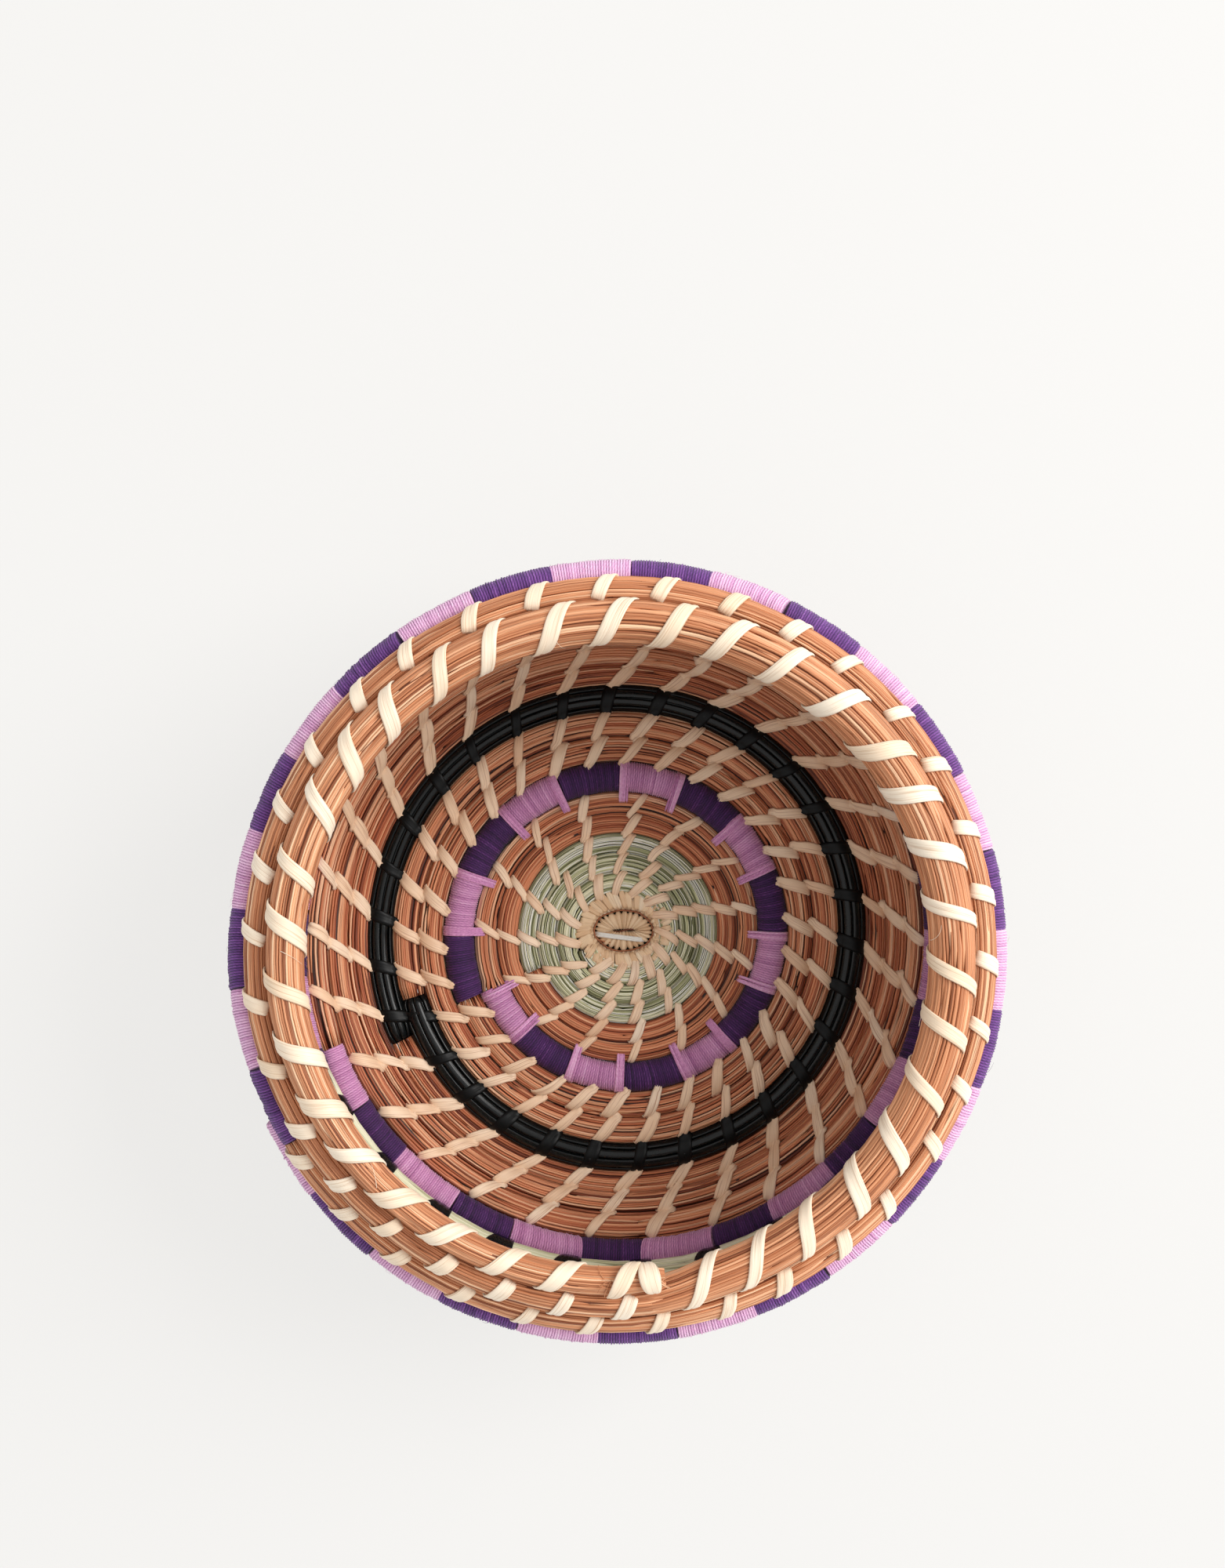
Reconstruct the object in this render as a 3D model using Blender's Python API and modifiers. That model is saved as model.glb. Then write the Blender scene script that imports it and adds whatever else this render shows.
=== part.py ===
"""Coiled pine needle basket with a round belly and a drawn-in mouth.

A single bundle winds outward from a small wrapped start, flat at first, then up
the wall, out to the belly and in again to the mouth. Where the bundle changes, a
new piece begins, end to end with the last one. Metres, +Z up, the basket's axis
on +Z and its underside on z = 0. Seen from above the bundle runs anticlockwise.
"""

import math
from dataclasses import dataclass

import bmesh
import bpy
from mathutils import Vector

MM = 0.001

# Thickness of the bundle in each stretch.
START_RING_THICKNESS = 3.0 * MM
GRASS_THICKNESS = 4.5 * MM
CENTRE_NEEDLE_THICKNESS = 4.6 * MM
FLOOR_WRAPPED_THICKNESS = 7.1 * MM
FLOOR_NEEDLE_THICKNESS = 6.2 * MM
BLACK_THICKNESS = 6.8 * MM
WALL_NEEDLE_THICKNESS = 6.4 * MM
LOWER_WRAPPED_THICKNESS = 6.6 * MM
BAND_THICKNESS = 6.1 * MM
UPPER_WRAPPED_THICKNESS = 6.6 * MM
SHOULDER_THICKNESS = 6.8 * MM
RIM_THICKNESS = 10.0 * MM

# Where the coil begins, and the air that is left between its rows and stretches.
# The first rows get more, because their straight ends stray outward.
START_RADIUS = 5.8 * MM
ROW_GAP = 0.6 * MM
FIRST_ROWS_ROOM = 0.35 * MM
END_GAP = 0.3 * MM
KNOT_END_GAP = 0.5 * MM

# How thick the last row is, as a share of its thickness, by share of its turn.
RIM_THICKNESS_SHARES = (
    (0.0, 0.92),
    (0.2, 1.02),
    (0.4, 0.98),
    (0.55, 0.89),
    (0.78, 0.81),
    (0.85, 0.62),
    (1.0, 0.58),
)

# The pad that fills the first loop, and the thread that ties it down.
PAD_THICKNESS = 3.0 * MM
PAD_EDGE_ROUNDING = 0.8 * MM
TIE_THICKNESS = 1.3 * MM
TIE_LENGTH = 11.0 * MM
TIE_SLANT = math.radians(-5.0)
SEAT_GAP = 0.3 * MM
WELD_DISTANCE = 0.01 * MM

# The raffia that binds the mouth: one leaning stitch after another over the last
# row, and the two ends of the knot that finishes it.
STITCH_WIDTH = 2.7 * MM
KNOT_STRAND_WIDTH = 3.2 * MM
RAFFIA_THICKNESS = 0.5 * MM

# The coil in turns. Turn 0 is where the first grass row begins.
START_ANGLE = math.radians(203.0)
FIRST_TURN = -1
CORNERS_PER_TURN = 24
KNOT_CORNERS = 5
TURN_OF_KNOT = KNOT_CORNERS / CORNERS_PER_TURN

# How far each wall row leans over the one below, in degrees from level.
WALL_LEANS = {
    9: 30.0,
    10: 44.0,
    11: 52.0,
    12: 57.0,
    13: 77.0,
    14: 83.0,
    15: 86.0,
    16: 88.0,
    17: 87.0,
    18: 85.0,
    19: 115.0,
    20: 130.4,
    21: 149.0,
}
RIM_LEAN = math.radians(144.5)

# How far the rows stray outward from an even spiral, by turn number.
ROW_SHIFTS = (
    (11.92, 0.0 * MM),
    (12.03, 1.5 * MM),
    (12.22, 1.5 * MM),
    (12.34, 0.0 * MM),
    (12.92, 0.0 * MM),
    (13.03, 1.3 * MM),
    (13.22, 1.3 * MM),
    (13.34, 0.0 * MM),
    (18.9, 0.0 * MM),
    (19.06, 0.7 * MM),
    (19.18, 0.0 * MM),
    (19.32, -1.5 * MM),
    (19.5, -0.5 * MM),
    (19.66, 1.2 * MM),
    (19.96, 1.35 * MM),
    (20.06, -0.65 * MM),
    (20.28, -2.35 * MM),
    (20.5, -0.75 * MM),
    (20.68, 0.35 * MM),
    (20.96, 0.95 * MM),
    (21.07, -0.95 * MM),
    (21.2, -1.7 * MM),
)

# How near a corner may come to a straight end, as shares of the bundle's thickness
# and of one side of the loop.
CLEAR_OF_RUN_SHARE = 1.25
CLEAR_OF_SIDE_SHARE = 0.75

# Round sections are six-sided, with a flat side down.
SIDES_RESOLUTION = 1
FLAT_TO_MIDDLE_SHARE = math.cos(math.radians(30.0))

# Each strand crosses the last row from the mouth's inside over its top to the row
# below, in degrees round the bundle from level outward. Outward it leans clockwise.
STRAND_ARC = (205.0, -5.0)
STRAND_STEPS = 7
RIM_STITCHES = 33
STITCH_LEAN = 7.5 / 360.0
FIRST_STITCH = 10.5 / 360.0
LAST_STITCH = 345.0 / 360.0

# Where the knot's two ends begin and end, in turns from the end of the coil.
LEFT_STRAND_TURNS = (-5.6 / 360.0, -9.8 / 360.0)
RIGHT_STRAND_TURNS = (-2.4 / 360.0, -2.0 / 360.0)


@dataclass(frozen=True)
class Finish:
    """Colour, roughness and metallic value of one material."""

    colour: tuple
    roughness: float
    metallic: float = 0.0


RAFFIA = Finish((0.76, 0.60, 0.38), 0.55)
WHITE_THREAD = Finish((0.85, 0.82, 0.76), 0.60)
GREEN_GRASS = Finish((0.29, 0.33, 0.18), 0.65)
BROWN_NEEDLES = Finish((0.38, 0.17, 0.08), 0.45)
LILAC_THREAD = Finish((0.50, 0.27, 0.48), 0.60)
PURPLE_THREAD = Finish((0.12, 0.06, 0.24), 0.60)
BLACK_STRIPS = Finish((0.012, 0.014, 0.017), 0.30)
PALE_GRASS = Finish((0.55, 0.55, 0.34), 0.60)


@dataclass(frozen=True)
class Stretch:
    """One stretch of the coil, from one turn number to another."""

    name: str
    first_turn: float
    last_turn: float
    thickness: float
    finish: Finish
    on_floor: bool = False


FLOOR_STRETCHES = (
    Stretch("raffia_start_ring", -1, 0, START_RING_THICKNESS, RAFFIA, True),
    Stretch("green_grass_coil", 0, 3, GRASS_THICKNESS, GREEN_GRASS, True),
    Stretch("centre_needle_coil", 3, 5, CENTRE_NEEDLE_THICKNESS, BROWN_NEEDLES, True),
    Stretch("floor_wrapped_coil", 5, 6, FLOOR_WRAPPED_THICKNESS, LILAC_THREAD, True),
    Stretch("floor_needle_coil", 6, 8, FLOOR_NEEDLE_THICKNESS, BROWN_NEEDLES, True),
    Stretch("black_strip_coil", 8, 9, BLACK_THICKNESS, BLACK_STRIPS, True),
)
WALL_STRETCHES = (
    Stretch("wall_needle_coil_1", 9, 10, WALL_NEEDLE_THICKNESS, BROWN_NEEDLES),
    Stretch("wall_needle_coil_2", 10, 11, WALL_NEEDLE_THICKNESS, BROWN_NEEDLES),
    Stretch("wall_needle_coil_3", 11, 12, WALL_NEEDLE_THICKNESS, BROWN_NEEDLES),
    Stretch("lower_wrapped_coil", 12, 13, LOWER_WRAPPED_THICKNESS, PURPLE_THREAD),
    Stretch("pale_grass_coil_1", 13, 14, BAND_THICKNESS, PALE_GRASS),
    Stretch("pale_grass_coil_2", 14, 15, BAND_THICKNESS, PALE_GRASS),
    Stretch("pale_grass_coil_3", 15, 16, BAND_THICKNESS, PALE_GRASS),
    Stretch("pale_grass_coil_4", 16, 17, BAND_THICKNESS, PALE_GRASS),
    Stretch("pale_grass_coil_5", 17, 18, BAND_THICKNESS, PALE_GRASS),
    Stretch("pale_grass_coil_6", 18, 19, BAND_THICKNESS, PALE_GRASS),
    Stretch("upper_wrapped_coil", 19, 20, UPPER_WRAPPED_THICKNESS, LILAC_THREAD),
    Stretch("shoulder_needle_coil", 20, 21 + TURN_OF_KNOT, SHOULDER_THICKNESS, BROWN_NEEDLES),
)
STRETCHES = FLOOR_STRETCHES + WALL_STRETCHES
RIM = Stretch(
    "rim_needle_coil", 21 + TURN_OF_KNOT, 22 + TURN_OF_KNOT, RIM_THICKNESS, BROWN_NEEDLES
)


def clear_scene():
    """Remove every object that the file opened with."""
    for thing in list(bpy.data.objects):
        bpy.data.objects.remove(thing, do_unlink=True)


def new_material(name, finish):
    """Principled material with the finish's colour, roughness and metallic value."""
    material = bpy.data.materials.new(name)
    material.use_nodes = True
    shader = material.node_tree.nodes["Principled BSDF"]
    shader.inputs["Base Color"].default_value = (*finish.colour, 1.0)
    shader.inputs["Roughness"].default_value = finish.roughness
    shader.inputs["Metallic"].default_value = finish.metallic
    return material


def add_object(name, data, finish, collection):
    """Put a curve or mesh into the scene under its own name and material."""
    piece = bpy.data.objects.new(name, data)
    piece.data.materials.append(new_material(name, finish))
    collection.objects.link(piece)
    return piece


def flat_height(thickness):
    """Height of a bundle's middle when its flat side lies on the ground."""
    return FLAT_TO_MIDDLE_SHARE * thickness / 2


def turn_thickness(turn):
    """Thickness of the bundle in the turn that begins at this whole number."""
    for stretch in STRETCHES:
        if stretch.first_turn <= turn < stretch.last_turn:
            return stretch.thickness
    return SHOULDER_THICKNESS


def row_spacing(turn):
    """Distance between the middles of this turn and the next one."""
    return (turn_thickness(turn) + turn_thickness(turn + 1)) / 2 + ROW_GAP


def row_stations():
    """Radius and height of the bundle's middle where each turn begins."""
    radius = START_RADIUS
    height = flat_height(BLACK_THICKNESS)
    stations = {FIRST_TURN: (radius, height)}
    for turn in range(FIRST_TURN, max(WALL_LEANS) + 1):
        lean = math.radians(WALL_LEANS.get(turn, 0.0))
        spacing = row_spacing(turn)
        if turn > FIRST_TURN:
            spacing = max(spacing, row_spacing(turn - 1))
        if turn <= 0:
            spacing += FIRST_ROWS_ROOM
        radius += spacing * math.cos(lean)
        height += spacing * math.sin(lean)
        stations[turn + 1] = (radius, height)
    return stations


STATIONS = row_stations()


def read_table(table, place):
    """Value of a table at a place, even between its entries and level beyond them."""
    (first, value), *others = table
    if place <= first:
        return value
    for last, last_value in others:
        if place <= last:
            share = (place - first) / (last - first)
            return value + share * (last_value - value)
        first, value = last, last_value
    return value


def row_middle(turn):
    """Radius and height of the bundle's middle at any turn number."""
    whole = min(math.floor(turn), max(STATIONS) - 1)
    whole = max(whole, FIRST_TURN)
    share = turn - whole
    inner, outer = STATIONS[whole], STATIONS[whole + 1]
    radius = inner[0] + share * (outer[0] - inner[0])
    height = inner[1] + share * (outer[1] - inner[1])
    return radius + read_table(ROW_SHIFTS, turn), height


def rim_thickness(turn):
    """Thickness of the rim bundle, which thins towards the knot."""
    share = (turn - RIM.first_turn) / (RIM.last_turn - RIM.first_turn)
    return RIM.thickness * read_table(RIM_THICKNESS_SHARES, share)


def rim_middle(turn):
    """Radius and height of the rim bundle, seated on the row below it."""
    radius, height = row_middle(turn - 1)
    spacing = (SHOULDER_THICKNESS + rim_thickness(turn)) / 2 + ROW_GAP
    return radius + spacing * math.cos(RIM_LEAN), height + spacing * math.sin(RIM_LEAN)


def on_spiral(turn, radius, height):
    """Point at a turn number's angle."""
    angle = START_ANGLE + math.tau * turn
    return Vector((radius * math.cos(angle), radius * math.sin(angle), height))


def stretch_point(stretch, turn):
    """Middle of a stretch's bundle at a turn number."""
    if stretch is RIM:
        return on_spiral(turn, *rim_middle(turn))
    radius, height = row_middle(turn)
    if stretch.on_floor:
        height = flat_height(stretch.thickness)
    return on_spiral(turn, radius, height)


def stretch_thickness(stretch, turn):
    """Thickness of a stretch's bundle at a turn number."""
    return rim_thickness(turn) if stretch is RIM else stretch.thickness


def straight_end(stretch, turn, inward):
    """The straight run at one end of a stretch: its two points, each with its turn.

    The run is square to the neighbour that it meets, and at least one thickness
    long. On a small loop it is drawn in by half of what it strays outward.
    """
    half_side = 0.5 / CORNERS_PER_TURN
    before = stretch_point(stretch, turn - half_side)
    after = stretch_point(stretch, turn + half_side)
    along = (after - before).normalized() * inward
    middle = (before + after) / 2
    run = (after - before).length / 2
    thickness = stretch_thickness(stretch, turn)
    if run < thickness:
        run = thickness
        stray = thickness ** 2 / (2 * middle.xy.length)
        middle -= Vector((*middle.xy.normalized(), 0.0)) * stray / 2
    gap = KNOT_END_GAP if stretch is RIM else END_GAP
    points = []
    for distance in (gap / 2, run):
        turns_away = math.atan(distance / middle.xy.length) / math.tau
        points.append((middle + along * distance, turn + inward * turns_away))
    return points


def centreline(stretch):
    """Corners of a stretch's centreline, each with its turn number."""
    start = straight_end(stretch, stretch.first_turn, 1)
    end = straight_end(stretch, stretch.last_turn, -1)
    corners = []
    first = math.ceil(stretch.first_turn * CORNERS_PER_TURN)
    last = math.floor(stretch.last_turn * CORNERS_PER_TURN)
    for corner in range(first, last):
        turn = (corner + 0.5) / CORNERS_PER_TURN
        point = stretch_point(stretch, turn)
        loop = math.tau * point.xy.length
        clear = max(
            CLEAR_OF_RUN_SHARE * stretch_thickness(stretch, turn),
            CLEAR_OF_SIDE_SHARE * loop / CORNERS_PER_TURN,
        )
        turns_from_end = min(turn - stretch.first_turn, stretch.last_turn - turn)
        if turns_from_end * loop > clear:
            corners.append((point, turn))
    return [*start, *corners, *reversed(end)]


def on_centreline(corners, turn):
    """Point on the straight side of a centreline at a turn number."""
    for (start, start_turn), (end, end_turn) in zip(corners, corners[1:]):
        if turn <= end_turn:
            break
    return start.lerp(end, (turn - start_turn) / (end_turn - start_turn))


def least_gap_to_itself(stretch, corners):
    """Least air between rows of one stretch, from its corners to its straights.

    A corner that lies past the flat end of the bundle is left out.
    """
    least = math.inf
    last_side = len(corners) - 2
    for here, (point, turn) in enumerate(corners):
        for there in range(here + CORNERS_PER_TURN // 2, last_side + 1):
            (start, start_turn), (end, end_turn) = corners[there:there + 2]
            side = end - start
            share = (point - start).dot(side) / side.length_squared
            if there == last_side and share > 1.0:
                continue
            share = min(max(share, 0.0), 1.0)
            nearest = start + share * side
            other_turn = start_turn + share * (end_turn - start_turn)
            thickness = stretch_thickness(stretch, turn) + stretch_thickness(stretch, other_turn)
            least = min(least, (point - nearest).length - thickness / 2)
    return least


def build_stretch(stretch, collection):
    """One stretch of the coil as a single unbroken six-sided tube."""
    corners = centreline(stretch)
    curve = bpy.data.curves.new(stretch.name, "CURVE")
    curve.dimensions = "3D"
    curve.twist_mode = "Z_UP"
    curve.bevel_depth = stretch.thickness / 2
    curve.bevel_resolution = SIDES_RESOLUTION
    curve.use_fill_caps = True
    spline = curve.splines.new("POLY")
    spline.points.add(len(corners) - 1)
    for spot, (point, turn) in zip(spline.points, corners):
        spot.co = (*point, 1.0)
        spot.radius = stretch_thickness(stretch, turn) / stretch.thickness
    gap = least_gap_to_itself(stretch, corners)
    print(f"{stretch.name}: least gap to itself {gap / MM:.2f} mm")
    return add_object(stretch.name, curve, stretch.finish, collection)


def build_start_pad(collection):
    """The wrapped pad inside the first loop, shaped by the loop's inner side."""
    ring = centreline(FLOOR_STRETCHES[0])
    inset = START_RING_THICKNESS / 2 + SEAT_GAP
    outline = [point.xy.normalized() * (point.xy.length - inset) for point, _ in ring]
    outline[0] = outline[-1].normalized() * outline[0].length
    curve = bpy.data.curves.new("raffia_start_pad", "CURVE")
    curve.dimensions = "2D"
    curve.fill_mode = "BOTH"
    curve.extrude = PAD_THICKNESS / 2
    spline = curve.splines.new("POLY")
    spline.points.add(len(outline) - 1)
    spline.use_cyclic_u = True
    for spot, corner in zip(spline.points, outline):
        spot.co = (corner.x, corner.y, 0.0, 1.0)
    pad = add_object("raffia_start_pad", curve, RAFFIA, collection)
    pad.location.z = PAD_THICKNESS / 2
    weld = pad.modifiers.new("weld", "WELD")
    weld.merge_threshold = WELD_DISTANCE
    rounding = pad.modifiers.new("rounding", "BEVEL")
    rounding.width = PAD_EDGE_ROUNDING
    rounding.segments = 2
    rounding.limit_method = "ANGLE"
    return pad


def build_start_tie(collection):
    """The white thread that lies across the pad."""
    curve = bpy.data.curves.new("start_thread_tie", "CURVE")
    curve.dimensions = "3D"
    curve.twist_mode = "Z_UP"
    curve.bevel_depth = TIE_THICKNESS / 2
    curve.bevel_resolution = SIDES_RESOLUTION
    curve.use_fill_caps = True
    spline = curve.splines.new("POLY")
    spline.points.add(1)
    for spot, side in zip(spline.points, (-1, 1)):
        spot.co = (side * TIE_LENGTH / 2, 0.0, 0.0, 1.0)
    tie = add_object("start_thread_tie", curve, WHITE_THREAD, collection)
    tie.location.z = PAD_THICKNESS + SEAT_GAP + TIE_THICKNESS / 2
    tie.rotation_euler.z = TIE_SLANT
    return tie


def strand_point(rim_corners, turn, degrees, across):
    """Point on a strand that lies on the rim, beside its middle line by across."""
    turn += across / (math.tau * rim_middle(turn)[0])
    middle = on_centreline(rim_corners, turn)
    outward = Vector((middle.x, middle.y, 0.0)).normalized()
    up = Vector((0.0, 0.0, 1.0))
    reach = rim_thickness(turn) / 2 + SEAT_GAP + RAFFIA_THICKNESS / 2
    angle = math.radians(degrees)
    return middle + reach * (math.cos(angle) * outward + math.sin(angle) * up)


def build_strand(name, turns, width, collection):
    """One flat strand of raffia, bent over the rim from its inside to its outside."""
    rim_corners = centreline(RIM)
    sheet = bmesh.new()
    bmesh.ops.create_grid(sheet, x_segments=STRAND_STEPS, y_segments=1, size=1.0)
    for corner in sheet.verts:
        share = (corner.co.x + 1) / 2
        turn = turns[0] + share * (turns[1] - turns[0])
        degrees = STRAND_ARC[0] + share * (STRAND_ARC[1] - STRAND_ARC[0])
        corner.co = strand_point(rim_corners, turn, degrees, corner.co.y * width / 2)
    mesh = bpy.data.meshes.new(name)
    sheet.to_mesh(mesh)
    sheet.free()
    strand = add_object(name, mesh, RAFFIA, collection)
    body = strand.modifiers.new("body", "SOLIDIFY")
    body.thickness = RAFFIA_THICKNESS
    body.offset = 0.0
    return strand


def build_rim_binding(collection):
    """The leaning stitches round the mouth, and the knot's two ends."""
    pitch = (LAST_STITCH - FIRST_STITCH) / (RIM_STITCHES - 1)
    for number in range(RIM_STITCHES):
        inside = RIM.first_turn + FIRST_STITCH + number * pitch
        turns = (inside, inside - STITCH_LEAN)
        build_strand(f"rim_stitch_{number + 1:02d}", turns, STITCH_WIDTH, collection)
    for side, ends in (("left", LEFT_STRAND_TURNS), ("right", RIGHT_STRAND_TURNS)):
        turns = [RIM.last_turn + end for end in ends]
        build_strand(f"knot_end_{side}", turns, KNOT_STRAND_WIDTH, collection)


def main():
    """Build the basket, piece by piece."""
    clear_scene()
    basket = bpy.data.collections.new("pine_needle_basket")
    bpy.context.scene.collection.children.link(basket)
    build_start_pad(basket)
    build_start_tie(basket)
    for stretch in (*STRETCHES, RIM):
        build_stretch(stretch, basket)
    build_rim_binding(basket)


main()
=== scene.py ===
"""Looks of a coiled pine needle basket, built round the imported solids.

Every row is made of what the real one is made of: single needles or grass stems laid
side by side, raffia stitches, wound thread, black strips. Metres, +Z up.
"""

import logging
import math
from dataclasses import dataclass
from enum import Enum
from functools import cached_property
from typing import Dict, List, Optional, Sequence, Tuple, Union

import bpy
import numpy as np
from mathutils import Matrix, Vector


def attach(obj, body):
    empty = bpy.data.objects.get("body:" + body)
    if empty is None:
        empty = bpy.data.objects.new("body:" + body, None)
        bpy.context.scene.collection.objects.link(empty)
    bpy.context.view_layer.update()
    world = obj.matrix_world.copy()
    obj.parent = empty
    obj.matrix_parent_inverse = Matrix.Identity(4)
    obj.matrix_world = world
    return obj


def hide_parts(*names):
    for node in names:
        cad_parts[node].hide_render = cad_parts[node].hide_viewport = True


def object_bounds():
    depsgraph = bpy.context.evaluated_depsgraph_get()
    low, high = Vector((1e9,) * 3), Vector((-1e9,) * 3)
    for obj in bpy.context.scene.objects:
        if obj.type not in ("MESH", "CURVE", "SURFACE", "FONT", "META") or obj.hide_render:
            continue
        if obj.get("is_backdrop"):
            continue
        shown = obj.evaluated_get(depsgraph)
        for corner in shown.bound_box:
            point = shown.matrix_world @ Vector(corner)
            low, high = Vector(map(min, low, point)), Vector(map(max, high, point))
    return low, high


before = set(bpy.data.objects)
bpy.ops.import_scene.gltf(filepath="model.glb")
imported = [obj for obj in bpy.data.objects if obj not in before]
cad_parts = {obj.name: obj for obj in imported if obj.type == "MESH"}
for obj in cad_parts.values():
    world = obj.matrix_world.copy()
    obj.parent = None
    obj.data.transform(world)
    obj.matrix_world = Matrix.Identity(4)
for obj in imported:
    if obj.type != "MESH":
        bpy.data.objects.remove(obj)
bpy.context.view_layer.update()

LOG = logging.getLogger("basket")
MM = 0.001
Array = np.ndarray
Colour = Tuple[int, int, int]

ROOT = "root"
FULL_TURN = 360.0


def linear(colour: Colour) -> Tuple[float, float, float, float]:
    """Turn a colour in 0 to 255 steps into linear light.

    Args:
        colour: red, green and blue as a screen shows them.

    Returns:
        Red, green, blue and a full alpha.
    """
    share = [channel / 255.0 for channel in colour]
    light = [c / 12.92 if c <= 0.04045 else ((c + 0.055) / 1.055) ** 2.4 for c in share]
    return (light[0], light[1], light[2], 1.0)


class Wire:
    """A shader socket that takes part in arithmetic."""

    def __init__(self, board: "Board", socket: bpy.types.NodeSocket) -> None:
        """Hold the socket and the board that it is on."""
        self.board = board
        self.socket = socket

    def _sum(self, operation: str, first: "Value", second: "Value") -> "Wire":
        """Add a Math node on two values and return its output."""
        return self.board.add("ShaderNodeMath", {"operation": operation}, {0: first, 1: second})

    def __add__(self, other: "Value") -> "Wire":
        """Sum."""
        return self._sum("ADD", self, other)

    def __radd__(self, other: "Value") -> "Wire":
        """Sum, from the right."""
        return self._sum("ADD", other, self)

    def __sub__(self, other: "Value") -> "Wire":
        """Difference."""
        return self._sum("SUBTRACT", self, other)

    def __rsub__(self, other: "Value") -> "Wire":
        """Difference, from the right."""
        return self._sum("SUBTRACT", other, self)

    def __mul__(self, other: "Value") -> "Wire":
        """Product."""
        return self._sum("MULTIPLY", self, other)

    def __rmul__(self, other: "Value") -> "Wire":
        """Product, from the right."""
        return self._sum("MULTIPLY", other, self)

    def sine(self) -> "Wire":
        """Sine of the value."""
        return self._sum("SINE", self, 0.0)


Value = Union[Wire, float, int]


class Board:
    """One material and the nodes on it."""

    def __init__(self, name: str) -> None:
        """Start a material with its principled shader."""
        self.material = bpy.data.materials.new(name)
        self.material.use_nodes = True
        self.tree = self.material.node_tree
        self.shader = self.tree.nodes["Principled BSDF"]

    def feed(self, socket: bpy.types.NodeSocket, value: object) -> None:
        """Link a wire to a socket, or set the socket's own value."""
        if isinstance(value, Wire):
            self.tree.links.new(value.socket, socket)
        else:
            socket.default_value = value

    def add(
        self,
        kind: str,
        settings: Optional[Dict[str, object]] = None,
        values: Optional[Dict[Union[str, int], object]] = None,
        output: Union[str, int] = 0,
    ) -> Wire:
        """Add a node of any type.

        Args:
            kind: the node's type.
            settings: its properties, set first; "stops" gives a ramp's stops.
            values: values or wires for its sockets.
            output: the output that is returned.

        Returns:
            The wire of that output.
        """
        node = self.tree.nodes.new(kind)
        for key, setting in (settings or {}).items():
            if key == "stops":
                self._set_stops(node, setting)
            else:
                setattr(node, key, setting)
        for key, value in (values or {}).items():
            self.feed(node.inputs[key], value)
        return Wire(self, node.outputs[output])

    @staticmethod
    def _set_stops(node: bpy.types.Node, stops: object) -> None:
        """Give a colour ramp its stops, as pairs of place and colour."""
        elements = node.color_ramp.elements
        for number, (place, colour) in enumerate(stops):
            element = elements[number] if number < 2 else elements.new(place)
            element.position = place
            element.color = colour

    def lie(self) -> Tuple[Wire, Wire, Wire]:
        """How a strand lies: metres along it, metres across it, and its own tone."""
        note = self.add("ShaderNodeAttribute", {"attribute_name": "lie"}, output="Vector")
        parts = [self.add("ShaderNodeSeparateXYZ", None, {0: note}, axis) for axis in "XYZ"]
        return parts[0], parts[1], parts[2]

    def noise(self, spot: Sequence[Value], detail: float = 2.0) -> Wire:
        """Noise from 0 to 1 at a spot given by three values.

        Args:
            spot: the three coordinates.
            detail: how many finer layers it has.

        Returns:
            The noise.
        """
        place = self.add("ShaderNodeCombineXYZ", None, dict(enumerate(spot)))
        sockets = {"Vector": place, "Scale": 1.0, "Detail": detail}
        return self.add("ShaderNodeTexNoise", None, sockets)

    def ramp(self, value: Wire, tones: Sequence[Colour]) -> Wire:
        """Colour from evenly spaced tones."""
        last = len(tones) - 1
        stops = [(number / last, linear(tone)) for number, tone in enumerate(tones)]
        return self.add("ShaderNodeValToRGB", {"stops": stops}, {0: value})

    def mix(self, share: Value, first: object, second: object, blend: str = "MIX") -> Wire:
        """Mix two colours by a share."""
        settings = {"data_type": "RGBA", "blend_type": blend}
        return self.add("ShaderNodeMix", settings, {0: share, 6: first, 7: second}, 2)

    def bump(self, height: Wire, distance: float, strength: float = 1.0) -> Wire:
        """Bump from a height, as deep as distance."""
        values = {"Height": height, "Distance": distance, "Strength": strength}
        return self.add("ShaderNodeBump", None, values)

    def dress(self, **sockets: object) -> bpy.types.Material:
        """Feed the shader's sockets, with underscores for spaces in their names."""
        for key, value in sockets.items():
            self.feed(self.shader.inputs[key.replace("_", " ")], value)
        return self.material


@dataclass(frozen=True)
class StemFinish:
    """Dried needles or grass: every stem has its own tone, with fine streaks along it."""

    name: str
    tones: Tuple[Colour, ...]
    streak_tone: Colour
    roughness: float = 0.5
    streaks_across: float = 2600.0
    streaks_along: float = 45.0
    streak_depth: float = 0.10 * MM

    def material(self) -> bpy.types.Material:
        """Build the material."""
        board = Board(self.name)
        along, across, tone = board.lie()
        spot = (along * self.streaks_along, across * self.streaks_across, tone * 61.0)
        streak = board.noise(spot, 3.0)
        patch = board.noise((along * 24.0, across * 300.0, tone * 17.0))
        base = board.ramp(tone + (patch - 0.5) * 0.35 + (streak - 0.5) * 0.25, self.tones)
        worn = board.mix((0.53 - streak) * 2.4, base, linear(self.streak_tone))
        return board.dress(
            Base_Color=worn,
            Roughness=self.roughness + (patch - 0.5) * 0.25,
            Normal=board.bump(streak, self.streak_depth),
            Specular_IOR_Level=0.4,
        )


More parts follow.
